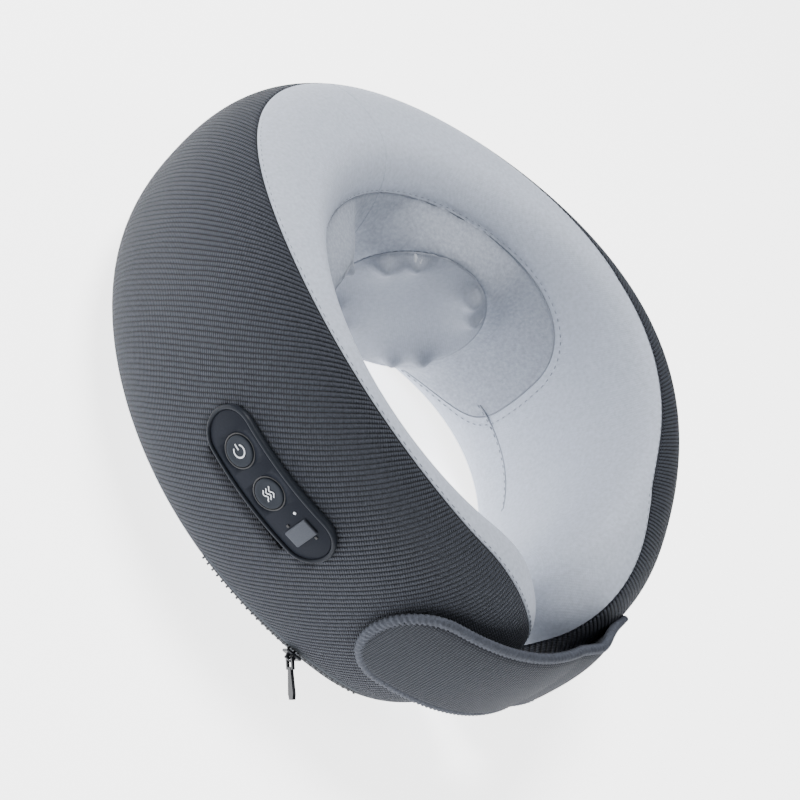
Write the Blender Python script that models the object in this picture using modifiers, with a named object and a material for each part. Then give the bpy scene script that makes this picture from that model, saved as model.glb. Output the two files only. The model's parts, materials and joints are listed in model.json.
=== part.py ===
"""A shiatsu neck massager: a cordless U-shaped pillow with two kneading heads.

The ring lies flat on its base, +Z up.  The wearer's nape is at +Y and the two arms close
at -Y, where a strap on the left arm (+X) laps over the right arm (-X).  Ring angle t is
measured from the nape towards the left arm; section angle s is 0 outward and 90 degrees up.
"""
import math

import bmesh
import bpy
import numpy as np
from mathutils import Matrix, Vector

MM = 0.001
DEG = math.pi / 180
NAME = "shiatsu_neck_massager"

# Ring: centre-line radius, as a mean and its waves round the ring
RING_RADIUS = 89.9 * MM
RING_NAPE_SHIFT = 10.4 * MM
RING_OVAL = -1.0 * MM
RING_SQUARE = 1.3 * MM
# Section: outward thickness, neck-side share of it, heights and lean
OUT_MEAN = 31.0 * MM
OUT_NAPE = 4.8 * MM
OUT_ENDS = 6.0 * MM
NECK_SHARE = 0.647
HALF_HEIGHT = 49.6 * MM
HALF_HEIGHT_NAPE = 3.9 * MM
HALF_HEIGHT_WAVE = -0.8 * MM
SIDE_RISE = 6.2 * MM
LEAN_MEAN = 3.8 * DEG
LEAN_NAPE = 1.6 * DEG
SECTION_POWER = 2.42
FLOOR_DROP = 51.0 * MM          # base plane below the ring's own plane
# Arm ends
END_ANGLE = 177.3 * DEG
END_ROUND = 36.8 * DEG
END_POWER = 2.39
DARK_END_ANGLE = 175.0 * DEG
DARK_END_ROUND = 34.3 * DEG
# Seams between the dark knit and the light neck-side fabric
SEAM_TOP = 72.5 * DEG
SEAM_TOP_NAPE = -12.7 * DEG
SEAM_TOP_WAVE = -11.3 * DEG
SEAM_BOTTOM = 96.5 * DEG
# Arm hinges
HINGE_ANGLE = 80.0 * DEG
HINGE_GAP = 0.3 * MM
EDGE_STATIONS = 16
# Fabric and foam
COVER_WALL = 2.6 * MM
FOAM_INSET = 5.0 * MM
SEAM_GAP = 0.55 * DEG
END_SEAM_GAP = 3.0 * DEG
CLEARANCE = 0.3 * MM
# Oval massage panel
PANEL_HALF_ANGLE = 75.0 * DEG
PANEL_CENTRE = 193.0 * DEG
PANEL_HALF_WIDTH = 55.0 * DEG
PANEL_GAP = 3.0 * DEG
# Massage heads
HEAD_ANGLE = 34.0 * DEG
HEAD_DROP = 5.0 * MM
TIP_PLANE = 59.5 * MM
TIP_CIRCLE = 28.0 * MM
TIP_SPREAD = 12.0 * DEG
BIG_TIP = 4.2 * MM
SMALL_TIP = 3.0 * MM
HEAD_ARMS = 4
ARM_FACE = 64.5 * MM
ARM_DEPTH = 6.0 * MM
ARM_WIDTH = 13.0 * MM
CARRIER_DEPTH = 3.0 * MM
CARRIER_REACH = 23.0 * MM
DOME_PLANE = 57.6 * MM
DOME_RADIUS = 36.0 * MM
DOME_SLOPE = 12.0 * MM
# Worm drive
MODULE = 1.25 * MM
WHEEL_TEETH = 32
WORM_PITCH_RADIUS = 5.0 * MM
BACKLASH = 0.6 * MM
WHEEL_FACE = 4.8 * MM
WHEEL_PLANE = 84.5 * MM
WORM_TURNS = 3
SHAFT_RADIUS = 3.0 * MM
WORM_SHAFT_RADIUS = 1.5 * MM
BUSH_RADIUS = 5.4 * MM
RUNNING_GAP = 0.25 * MM
# Gearbox
BOX_WALL = 2.2 * MM
BOX_FRONT = 77.6 * MM
BOX_BACK = 93.4 * MM
COVER_PLATE = 2.6 * MM
SCREW_RADIUS = 1.2 * MM
SCREW_HEAD = 2.4 * MM
# Motor
MOTOR_RADIUS = 10.0 * MM
MOTOR_LENGTH = 25.0 * MM
MOTOR_BOSS = 4.0 * MM
# Chassis and heating film
CHASSIS_WALL = 1.6 * MM
CHASSIS_HALF_HEIGHT = 20.0 * MM
FILM_WALL = 0.6 * MM
FILM_INSET = 3.0 * MM
# Battery
BATTERY_ANGLE = 107.0 * DEG
BATTERY_SIZE = (54.0 * MM, 13.0 * MM, 44.0 * MM)
# Control pod
POD_ANGLE = -101.0 * DEG
POD_LENGTH = 63.0 * MM
POD_WIDTH = 20.0 * MM
POD_DEPTH = 9.0 * MM
POD_WALL = 1.4 * MM
POD_BEND = 118.0 * MM
POD_RISE = 7.5 * MM
POD_PROUD = 1.0 * MM
BEZEL_WIDTH = 1.5 * MM
FACE_DEPTH = 1.4 * MM
BUTTON_RADIUS = 6.0 * MM
BUTTON_DEPTH = 3.2 * MM
BUTTON_TRAVEL_ROOM = 1.0 * MM
BUTTON_RING_GAP = 0.35 * MM
POWER_PLACE = -15.5 * MM
HEAT_PLACE = 2.0 * MM
LED_PLACE = 12.0 * MM
PORT_PLACE = 19.3 * MM
LED_RADIUS = 0.9 * MM
PORT_SIZE = (3.3 * MM, 9.0 * MM)
PORT_COVER_SIZE = (6.2 * MM, 11.0 * MM)
PORT_COVER_WALL = 1.4 * MM
BOARD_WALL = 1.0 * MM
SWITCH_SIZE = 4.5 * MM
# Strap
STRAP_ROOT = 156.0 * DEG
STRAP_TIP = 227.5 * DEG
STRAP_HALF_WIDTH = 21.5 * MM
STRAP_WALL = 2.6 * MM
STRAP_LIFT = 2.1 * MM
STRAP_RISE = 3.5 * MM
STRAP_BRIDGE = 0.12
PATCH_WALL = 0.6 * MM
PATCH_HALF_WIDTH = 13.0 * MM
# Zip
ZIP_FROM = -104.0 * DEG
ZIP_TO = -148.0 * DEG
ZIP_LEVEL = -38.0 * MM
ZIP_WIDTH = 5.0 * MM
ZIP_WALL = 1.0 * MM
ZIP_SLIDER_ANGLE = -131.0 * DEG
ZIP_PULL_LENGTH = 15.0 * MM

LEAD_RADIUS = 1.1 * MM
LEAD_CHANNEL = 5.0 * MM
LEAD_LEVEL = -14.0 * MM
LEAD_LOW = -34.0 * MM
LEAD_ARM_RADIUS = 98.0 * MM
LEAD_NAPE_RADIUS = 104.5 * MM
ZIP_PIN_HEIGHT = 2.5 * MM
ZIP_PULL_LEAN = 40 * DEG
POD_TILT = 0.0 * DEG
POD_HOLE_PLACE = -7.0 * MM
STRAP_RADIUS = 107.0 * MM
BOARD_TOP = -5.8 * MM
BUTTON_BOTTOM = -2.6 * MM
SHAFT_FRONT = 67.0 * MM
SHAFT_BACK = 92.8 * MM
CARRIER_FACE = ARM_FACE + ARM_DEPTH + CLEARANCE
WORM_ROOM = 12.6 * MM
BOX_END_SIDE = 14.8 * MM
BOX_MOTOR_SIDE = 20.8 * MM
WORM_SHAFT_REACH = 4.0 * MM
CHASSIS_LOW = 15.0 * MM

COLOURS = {
    "dark_knit": ((0.075, 0.088, 0.108), 0.85, 0.0),
    "light_knit": ((0.56, 0.59, 0.64), 0.75, 0.0),
    "foam": ((0.8, 0.78, 0.7), 0.95, 0.0),
    "abs": ((0.05, 0.055, 0.062), 0.45, 0.0),
    "gloss": ((0.03, 0.033, 0.04), 0.15, 0.0),
    "button": ((0.06, 0.065, 0.075), 0.4, 0.0),
    "steel": ((0.6, 0.6, 0.62), 0.3, 1.0),
    "brass": ((0.75, 0.57, 0.25), 0.35, 1.0),
    "acetal": ((0.85, 0.85, 0.82), 0.5, 0.0),
    "silicone": ((0.32, 0.34, 0.38), 0.6, 0.0),
    "board": ((0.03, 0.2, 0.1), 0.5, 0.0),
    "film": ((0.45, 0.22, 0.06), 0.5, 0.0),
    "cell": ((0.1, 0.2, 0.42), 0.5, 0.0),
    "led": ((0.8, 0.85, 0.9), 0.3, 0.0),
    "rubber": ((0.14, 0.15, 0.17), 0.7, 0.0),
    "lead": ((0.4, 0.05, 0.04), 0.6, 0.0),
}


# ---------------------------------------------------------------- scene helpers
def clear_scene():
    for obj in list(bpy.data.objects):
        bpy.data.objects.remove(obj, do_unlink=True)


def new_collection(name):
    collection = bpy.data.collections.new(name)
    bpy.context.scene.collection.children.link(collection)
    return collection


def material(name):
    colour, roughness, metallic = COLOURS[name]
    made = bpy.data.materials.get(name) or bpy.data.materials.new(name)
    made.use_nodes = True
    shader = made.node_tree.nodes["Principled BSDF"]
    shader.inputs["Base Color"].default_value = (*colour, 1.0)
    shader.inputs["Roughness"].default_value = roughness
    shader.inputs["Metallic"].default_value = metallic
    return made


def add_object(name, mesh, finish, collection=None):
    obj = bpy.data.objects.new(name, mesh)
    (collection or PARTS).objects.link(obj)
    if finish:
        mesh.materials.append(material(finish))
    return obj


def mesh_of(name, bm, smooth=True):
    bmesh.ops.recalc_face_normals(bm, faces=bm.faces)
    if bm.calc_volume(signed=True) < 0:
        bmesh.ops.reverse_faces(bm, faces=bm.faces)
    mesh = bpy.data.meshes.new(name)
    bm.to_mesh(mesh)
    bm.free()
    if smooth:
        mesh.shade_smooth()
        mesh.set_sharp_from_angle(angle=35 * DEG)
    return mesh


def cut(obj, cutter, operation="DIFFERENCE"):
    """Apply one exact Boolean and keep its result as the object's mesh."""
    modifier = obj.modifiers.new("cut", "BOOLEAN")
    modifier.operation = operation
    modifier.solver = "EXACT"
    modifier.object = cutter
    bpy.context.view_layer.update()
    evaluated = obj.evaluated_get(bpy.context.evaluated_depsgraph_get())
    mesh = bpy.data.meshes.new_from_object(evaluated)
    obj.modifiers.remove(modifier)
    old = obj.data
    obj.data = mesh
    bpy.data.meshes.remove(old)
    bpy.data.objects.remove(cutter, do_unlink=True)
    return obj


def cutter_from(mesh, matrix=None):
    obj = add_object("cutter", mesh, None, CUTTERS)
    obj.hide_render = True
    obj.display_type = "WIRE"
    obj.matrix_world = matrix or Matrix.Identity(4)
    return obj


# ---------------------------------------------------------------- basic solids
def cylinder_mesh(radius, depth, segments=24, radius_top=None, start=None):
    """A cylinder along +Z, centred, or from `start` upward."""
    bm = bmesh.new()
    bmesh.ops.create_cone(bm, cap_ends=True, segments=segments, radius1=radius,
                          radius2=radius if radius_top is None else radius_top, depth=depth)
    if start is not None:
        bmesh.ops.translate(bm, verts=bm.verts, vec=(0, 0, start + depth / 2))
    return mesh_of("cylinder", bm)


def box_mesh(size, centre=(0, 0, 0), round_by=0.0):
    bm = bmesh.new()
    bmesh.ops.create_cube(bm, size=1.0)
    bmesh.ops.scale(bm, verts=bm.verts, vec=size)
    if round_by:
        bmesh.ops.bevel(bm, geom=bm.edges, offset=round_by, segments=1, affect="EDGES", profile=0.5)
    bmesh.ops.translate(bm, verts=bm.verts, vec=centre)
    return mesh_of("box", bm)


def loft_mesh(loops, close_ends=True, around=False):
    """Skin a run of closed loops, each with the same count of points; around joins last to first."""
    bm = bmesh.new()
    rings = [[bm.verts.new(point) for point in loop] for loop in loops]
    count = len(rings[0])
    for low, high in zip(rings, rings[1:] + rings[:1] if around else rings[1:]):
        for i in range(count):
            j = (i + 1) % count
            bm.faces.new((low[i], low[j], high[j], high[i]))
    if close_ends and not around:
        for ring in (rings[0], rings[-1]):
            bm.faces.new(ring)
    bmesh.ops.triangulate(bm, faces=bm.faces)
    return mesh_of("loft", bm)


def shell_mesh(outer, inner):
    """A closed skin between two grids of points of the same shape."""
    rows, columns = outer.shape[:2]
    bm = bmesh.new()
    top = [[bm.verts.new(p) for p in row] for row in outer]
    low = [[bm.verts.new(p) for p in row] for row in inner]
    for i in range(rows - 1):
        for j in range(columns - 1):
            bm.faces.new((top[i][j], top[i][j + 1], top[i + 1][j + 1], top[i + 1][j]))
            bm.faces.new((low[i][j], low[i + 1][j], low[i + 1][j + 1], low[i][j + 1]))
    for j in range(columns - 1):
        for i in (0, rows - 1):
            bm.faces.new((top[i][j], top[i][j + 1], low[i][j + 1], low[i][j]))
    for i in range(rows - 1):
        for j in (0, columns - 1):
            bm.faces.new((top[i][j], top[i + 1][j], low[i + 1][j], low[i][j]))
    bmesh.ops.triangulate(bm, faces=bm.faces)
    return mesh_of("shell", bm)


# ---------------------------------------------------------------- the body's own law
def superpower(value):
    return np.sign(value) * np.abs(value) ** (2.0 / SECTION_POWER)


def ring_radius(t):
    return (RING_RADIUS + RING_NAPE_SHIFT * np.cos(t) + RING_OVAL * np.cos(2 * t)
            + RING_SQUARE * np.cos(4 * t))


def out_thickness(t):
    return OUT_MEAN + OUT_NAPE * np.cos(t) + OUT_ENDS * np.cos(2 * t)


def end_taper(t):
    """1 along the arm, falling to 0 at its rounded end."""
    w = np.clip((np.abs(t) - (END_ANGLE - END_ROUND)) / END_ROUND, 0, 1)
    return (1 - w ** END_POWER) ** (1 / END_POWER)


def seam_taper(t):
    w = np.clip((np.abs(t) - (DARK_END_ANGLE - DARK_END_ROUND)) / DARK_END_ROUND, 0, 1)
    return np.sqrt(1 - w * w)


def top_seam(t):
    return (SEAM_TOP + SEAM_TOP_NAPE * np.cos(t) + SEAM_TOP_WAVE * np.cos(2 * t)) * seam_taper(t)


def bottom_seam(t):
    return -SEAM_BOTTOM * seam_taper(t)


def skin(t, s, inset=0.0):
    """Points of the body's surface, or of one `inset` below it; t and s broadcast."""
    t, s = np.broadcast_arrays(np.asarray(t, float), np.asarray(s, float))
    taper = end_taper(t)
    pull = inset / RING_RADIUS / (END_ANGLE - HINGE_ANGLE)
    angle = t - np.sign(t) * np.clip(np.abs(t) - HINGE_ANGLE, 0, None) * pull
    across = superpower(np.cos(s))
    along = superpower(np.sin(s))
    thick = out_thickness(t)
    across = np.where(across > 0, thick - inset, thick * NECK_SHARE - inset) * across * taper
    wave = HALF_HEIGHT + HALF_HEIGHT_WAVE * np.cos(2 * t)
    height = np.where(along > 0, wave + HALF_HEIGHT_NAPE * np.cos(t), wave) - inset
    along = height * along * taper
    lean = LEAN_MEAN + LEAN_NAPE * np.cos(t)
    radius = ring_radius(t) + across * np.cos(lean) + along * np.sin(lean)
    z = along * np.cos(lean) - across * np.sin(lean) - SIDE_RISE * np.cos(2 * t)
    z = np.maximum(z, inset - FLOOR_DROP)
    return np.stack([radius * np.sin(angle), radius * np.cos(angle), z], -1)


def spread(start, stop, count):
    return np.linspace(start, stop, count)[:, None]


def across_seams(low, high, count):
    return low + (high - low) * np.linspace(0, 1, count)[None]


# ---------------------------------------------------------------- heads' local frames
def head_matrix(side):
    """Local X towards the arm, Y along the axis away from the neck, Z up, at the head."""
    angle = HEAD_ANGLE * side
    away = Vector((math.sin(angle), math.cos(angle), 0))
    arm = Vector((math.cos(angle), -math.sin(angle), 0)) * side
    matrix = Matrix.Identity(4)
    for row in range(3):
        matrix[row][0] = arm[row]
        matrix[row][1] = away[row]
        matrix[row][2] = (0, 0, 1)[row]
    matrix[2][3] = -HEAD_DROP
    return matrix


def spin_matrix(side, distance):
    """Local +Z along the head's axis away from the neck, at a distance from the ring's axis."""
    turn = Matrix.Rotation(-90 * DEG, 4, "X")
    return head_matrix(side) @ Matrix.Translation((0, distance, 0)) @ turn


def place(obj, matrix):
    """Put a mesh into world axes, also where the frame is mirrored."""
    obj.data.transform(matrix)
    if matrix.determinant() < 0:
        obj.data.flip_normals()
    return obj


def side_name(side):
    return "left" if side > 0 else "right"


# ---------------------------------------------------------------- covers
def nape_angles():
    """Stations from the right hinge to the left one, shared by both covers at their seam."""
    return -HINGE_ANGLE / np.tan(np.linspace(45 * DEG, 135 * DEG, EDGE_STATIONS))


def core_outer_cover():
    t = nape_angles()[:, None]
    s = across_seams(bottom_seam(t) + SEAM_GAP, top_seam(t) - SEAM_GAP, 11)
    return add_object("outer_cover_nape",
                      shell_mesh(skin(t, s), skin(t, s, COVER_WALL)), "dark_knit")


def arm_angles(side, stop, count):
    start = HINGE_ANGLE + HINGE_GAP / RING_RADIUS * 1.2
    u = np.linspace(0, 1, count)[:, None]
    return side * (start + (stop - start) * (1 - (1 - u) ** 1.25))


def arm_outer_cover(side):
    t = arm_angles(side, DARK_END_ANGLE * 0.996, 13)
    low = bottom_seam(t) + SEAM_GAP * seam_taper(t)
    high = top_seam(t) - SEAM_GAP * seam_taper(t)
    s = across_seams(low, high, 11)
    return add_object(f"outer_cover_{side_name(side)}",
                      shell_mesh(skin(t, s), skin(t, s, COVER_WALL)), "dark_knit")


def arm_inner_cover(side):
    t = arm_angles(side, END_ANGLE * 0.999, 13)
    gap = SEAM_GAP + END_SEAM_GAP * (1 - seam_taper(t))
    s = across_seams(top_seam(t) + gap, 2 * math.pi + bottom_seam(t) - gap, 11)
    return add_object(f"inner_cover_{side_name(side)}",
                      shell_mesh(skin(t, s), skin(t, s, COVER_WALL)), "light_knit")


def panel_edge(phi, grow=0.0):
    t = (PANEL_HALF_ANGLE + grow) * np.cos(phi)
    s = PANEL_CENTRE + (PANEL_HALF_WIDTH + grow) * np.sin(phi)
    return t, s


def core_inner_cover():
    """The light fabric round the oval panel, from the panel's edge out to the seams."""
    corner = math.atan2(1, 1)
    quarter = np.linspace(0, 1, EDGE_STATIONS)[:-1]
    phi = np.concatenate([corner + (k + quarter) * math.pi / 2 for k in range(4)])
    square_t = np.clip(np.cos(phi) / np.abs(np.sin(phi)).clip(1e-6), -1, 1) * HINGE_ANGLE
    square_v = np.clip(np.sin(phi) / np.abs(np.cos(phi)).clip(1e-6), -1, 1)
    low = top_seam(square_t) + SEAM_GAP
    high = 2 * math.pi + bottom_seam(square_t) - SEAM_GAP
    edge_s = np.where(square_v < 0, PANEL_CENTRE + square_v * (PANEL_CENTRE - low),
                      PANEL_CENTRE + square_v * (high - PANEL_CENTRE))
    hole_t, hole_s = panel_edge(phi, PANEL_GAP)
    rows = np.linspace(0, 1, 4)[:, None]
    t = hole_t + (square_t - hole_t) * rows
    s = hole_s + (edge_s - hole_s) * rows
    share = np.clip((1 - rows) / 0.4, 0, 1)
    outer = over_heads(skin(t, s), 0, share)
    inner = over_heads(skin(t, s, COVER_WALL), 1.2 * MM, share)
    bm = bmesh.new()
    top = [[bm.verts.new(p) for p in row] for row in outer]
    low_rows = [[bm.verts.new(p) for p in row] for row in inner]
    count = len(phi)
    for i in range(len(rows) - 1):
        for j in range(count):
            k = (j + 1) % count
            bm.faces.new((top[i][j], top[i][k], top[i + 1][k], top[i + 1][j]))
            bm.faces.new((low_rows[i][j], low_rows[i + 1][j], low_rows[i + 1][k], low_rows[i][k]))
    for j in range(count):
        k = (j + 1) % count
        for i in (0, len(rows) - 1):
            bm.faces.new((top[i][j], top[i][k], low_rows[i][k], low_rows[i][j]))
    bmesh.ops.triangulate(bm, faces=bm.faces)
    return add_object("inner_cover_nape", mesh_of("frame", bm), "light_knit")


def over_heads(points, clear, share=1.0):
    """Push panel points towards the neck where a head sweeps under them."""
    moved = points.copy()
    for side in (-1, 1):
        away = np.array(head_matrix(side).col[1][:3])
        arm = np.array(head_matrix(side).col[0][:3])
        depth = moved @ away
        radial = np.hypot(moved @ arm, moved[..., 2] + HEAD_DROP)
        near = np.clip((DOME_RADIUS + DOME_SLOPE - radial) / DOME_SLOPE, 0, 1)
        near = near * near * (3 - 2 * near)
        change = np.minimum(DOME_PLANE + clear - depth, 0) * near * share
        moved += change[..., None] * away
    return moved


def massage_panel():
    half = PANEL_HALF_ANGLE * 0.995
    u = np.linspace(-1, 1, 27)[:, None]
    t = half * np.sin(u * math.pi / 2)
    reach = PANEL_HALF_WIDTH * np.sqrt(1 - (t / PANEL_HALF_ANGLE) ** 2)
    s = PANEL_CENTRE + reach * np.linspace(-1, 1, 11)[None]
    outer = over_heads(skin(t, s), 0)
    inner = over_heads(skin(t, s, 1.6 * MM), 1.2 * MM)
    return add_object("massage_panel", shell_mesh(outer, inner), "light_knit")


# ---------------------------------------------------------------- foams and films
def arm_foam(side):
    t = arm_angles(side, END_ANGLE * 0.985, 10)
    s = np.linspace(0, 2 * math.pi, 17)[None, :-1]
    loops = skin(t, s, FOAM_INSET)
    return add_object(f"{side_name(side)}_arm_foam", loft_mesh(loops), "foam")


def nape_foam():
    """The pad behind the mechanism: outer arc of the section, closed by a flat back."""
    t = spread(-HINGE_ANGLE * 0.995, HINGE_ANGLE * 0.995, 17)
    s = np.linspace(-52 * DEG, 56 * DEG, 9)[None]
    arc = skin(t, s, FOAM_INSET)
    flat_radius = ring_radius(t) + 0.36 * out_thickness(t)
    loops = []
    for angle, radius, row in zip(t[:, 0], flat_radius[:, 0], arc):
        back = [np.array([radius * math.sin(angle), radius * math.cos(angle), z])
                for z in (row[-1, 2], (row[-1, 2] + row[0, 2]) / 2, row[0, 2])]
        loops.append(list(row) + back)
    return add_object("nape_foam", loft_mesh(loops), "foam")


def heating_film(side):
    t = side * spread(HINGE_ANGLE + 8 * DEG, HINGE_ANGLE + 62 * DEG, 9)
    s = across_seams(150 * DEG + 0 * t, 214 * DEG + 0 * t, 6)
    return add_object(f"{side_name(side)}_heating_film",
                      shell_mesh(skin(t, s, FILM_INSET), skin(t, s, FILM_INSET + FILM_WALL)), "film")


# ---------------------------------------------------------------- massage drive
def wheel_pitch_radius():
    return MODULE * WHEEL_TEETH / 2


def centre_distance():
    return wheel_pitch_radius() + WORM_PITCH_RADIUS


def worm_wheel(side):
    pitch = math.pi * MODULE
    radius = wheel_pitch_radius()
    tip, root = radius + MODULE * 0.95, radius - MODULE * 1.2
    tooth = (pitch / 2 - BACKLASH) / radius
    slope = 20 * DEG
    half_tip = tooth / 2 - (tip - radius) * math.tan(slope) / tip
    half_root = tooth / 2 + (radius - root) * math.tan(slope) / root
    step = 2 * math.pi / WHEEL_TEETH
    bore = SHAFT_RADIUS + RUNNING_GAP
    flanks = ((-half_root, root), (-half_tip, tip), (half_tip, tip), (half_root, root))
    loops = []
    for level, inside in ((-0.5, False), (0.5, False), (0.5, True), (-0.5, True)):
        loop = []
        for k in range(WHEEL_TEETH):
            middle = -math.pi / 2 + (k + 0.5) * step
            for number, (angle, r) in enumerate(flanks):
                if inside:
                    angle, r = (number - 1.5) * step / 4, bore
                loop.append((r * math.cos(middle + angle), r * math.sin(middle + angle),
                             level * WHEEL_FACE))
        loops.append(loop)
    obj = add_object(f"{side_name(side)}_worm_wheel", loft_mesh(loops, around=True), "acetal")
    return place(obj, spin_matrix(side, WHEEL_PLANE))


def worm(side):
    """Single-start worm under the wheel; its shaft runs on into the motor."""
    pitch = math.pi * MODULE
    radius = WORM_PITCH_RADIUS
    tip, root = radius + MODULE * 0.95, radius - MODULE * 1.2
    tooth = pitch / 2 - BACKLASH / 2
    lean = math.tan(20 * DEG)
    half_tip = tooth / 2 - (tip - radius) * lean
    half_root = tooth / 2 + (radius - root) * lean
    steps = 10
    loops = []
    for i in range(steps * WORM_TURNS + 1):
        turn = i / steps - WORM_TURNS / 2
        angle = 2 * math.pi * turn + math.pi
        loops.append([(r * math.cos(angle), r * math.sin(angle), along + turn * pitch)
                      for along, r in ((-half_root, root - 0.2 * MM), (-half_tip, tip),
                                       (half_tip, tip), (half_root, root - 0.2 * MM))])
    obj = add_object(f"{side_name(side)}_worm", loft_mesh(loops), "brass")
    core = cylinder_mesh(root, (WORM_TURNS + 1) * pitch, steps)
    cut(obj, cutter_from(core), "UNION")
    start = -BOX_MOTOR_SIDE - WORM_SHAFT_REACH
    stop = BOX_END_SIDE - 0.4 * MM
    shaft = cylinder_mesh(WORM_SHAFT_RADIUS, stop - start, 16, start=start)
    cut(obj, cutter_from(shaft), "UNION")
    return place(obj, worm_matrix(side))


def worm_matrix(side):
    below = Matrix.Translation((0, WHEEL_PLANE, -centre_distance()))
    return head_matrix(side) @ below @ Matrix.Rotation(90 * DEG, 4, "Y")


def head_shaft(side):
    mesh = cylinder_mesh(SHAFT_RADIUS, SHAFT_BACK - SHAFT_FRONT, 24, start=SHAFT_FRONT)
    return place(add_object(f"{side_name(side)}_head_shaft", mesh, "steel"), spin_matrix(side, 0))


def head_carrier(side):
    """Steel cross behind the silicone, on the shaft."""
    reach = 2 * CARRIER_REACH
    middle = (0, 0, CARRIER_FACE + CARRIER_DEPTH / 2)
    obj = add_object(f"{side_name(side)}_head_carrier",
                     box_mesh((reach, ARM_WIDTH * 0.7, CARRIER_DEPTH), middle), "steel")
    cut(obj, cutter_from(box_mesh((ARM_WIDTH * 0.7, reach, CARRIER_DEPTH), middle)), "UNION")
    hub = cylinder_mesh(ARM_WIDTH * 0.7, CARRIER_DEPTH, 24, start=CARRIER_FACE)
    cut(obj, cutter_from(hub), "UNION")
    bore = cylinder_mesh(SHAFT_RADIUS + RUNNING_GAP, CARRIER_DEPTH * 4, 24, start=CARRIER_FACE - CARRIER_DEPTH)
    cut(obj, cutter_from(bore))
    obj.data.transform(Matrix.Rotation(45 * DEG, 4, "Z"))
    return place(obj, spin_matrix(side, 0))


def tip_mesh(radius, angle):
    """One kneading tip, standing from an arm towards the neck."""
    x, y = TIP_CIRCLE * math.cos(angle), TIP_CIRCLE * math.sin(angle)
    height = ARM_FACE - TIP_PLANE
    levels = ((1.35, -0.1), (1.0, 0.55), (0.75, 0.88), (0.35, 1.0))
    loops = [[(x + radius * wide * math.cos(a), y + radius * wide * math.sin(a),
               ARM_FACE - height * rise) for a in np.linspace(0, 2 * math.pi, 9)[:-1]]
             for wide, rise in levels]
    return loft_mesh(loops)


def massage_head(side):
    """Silicone cross with four arms, each with a big and a small tip."""
    reach = 2 * (TIP_CIRCLE + BIG_TIP)
    middle = (0, 0, ARM_FACE + ARM_DEPTH / 2)
    size = (reach, ARM_WIDTH, ARM_DEPTH)
    obj = add_object(f"{side_name(side)}_massage_head", box_mesh(size, middle, 1.5 * MM), "silicone")
    size = (ARM_WIDTH, reach, ARM_DEPTH)
    cut(obj, cutter_from(box_mesh(size, middle, 1.5 * MM)), "UNION")
    hub = cylinder_mesh(ARM_WIDTH * 0.9, ARM_DEPTH - 0.4 * MM, 16, start=ARM_FACE + 0.2 * MM)
    cut(obj, cutter_from(hub), "UNION")
    for arm in range(HEAD_ARMS):
        base = arm * math.pi / 2
        cut(obj, cutter_from(tip_mesh(BIG_TIP, base + TIP_SPREAD)), "UNION")
        cut(obj, cutter_from(tip_mesh(SMALL_TIP, base - TIP_SPREAD)), "UNION")
    bore = cylinder_mesh(SHAFT_RADIUS + RUNNING_GAP, ARM_DEPTH, 24, start=SHAFT_FRONT - CLEARANCE)
    cut(obj, cutter_from(bore))
    obj.data.transform(Matrix.Rotation(45 * DEG, 4, "Z"))
    return place(obj, spin_matrix(side, 0))


def front_bush(side):
    obj = add_object(f"{side_name(side)}_shaft_bush",
                     cylinder_mesh(BUSH_RADIUS, COVER_PLATE + 1.2 * MM, 28,
                                   start=BOX_FRONT - COVER_PLATE - 0.4 * MM), "brass")
    bore = cylinder_mesh(SHAFT_RADIUS + RUNNING_GAP, BOX_BACK, 24, start=BOX_FRONT - BOX_BACK / 2)
    cut(obj, cutter_from(bore))
    return place(obj, spin_matrix(side, 0))


def box_outline(radius_extra, start, depth):
    """Solids whose union is the gearbox outline, grown by radius_extra, in spin axes."""
    wheel_room = wheel_pitch_radius() + MODULE + 1.2 * MM + radius_extra
    worm_room = WORM_PITCH_RADIUS + MODULE + 0.6 * MM + radius_extra
    low, high = -BOX_MOTOR_SIDE, BOX_END_SIDE
    if radius_extra < BOX_WALL:
        low, high = -WORM_ROOM, WORM_ROOM
    round_part = cylinder_mesh(wheel_room, depth, 28, start=start)
    floor = centre_distance() + worm_room
    size = (high - low, floor - centre_distance() / 2, depth)
    centre = ((high + low) / 2, (floor + centre_distance() / 2) / 2, start + depth / 2)
    return round_part, box_mesh(size, centre)


def screw_places():
    spot = (wheel_pitch_radius() + MODULE + 5.6 * MM) / math.sqrt(2)
    return ((-spot, -spot), (spot, -spot))


def add_bosses(obj, start, depth):
    for x, y in screw_places():
        boss = cylinder_mesh(SCREW_HEAD + 1.2 * MM, depth, 16, start=start)
        boss.transform(Matrix.Translation((x, y, 0)))
        cut(obj, cutter_from(boss), "UNION")


def drill_screws(obj, start, depth):
    for x, y in screw_places():
        drill = cylinder_mesh(SCREW_RADIUS + RUNNING_GAP, depth, 16, start=start)
        drill.transform(Matrix.Translation((x, y, 0)))
        cut(obj, cutter_from(drill))


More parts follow.
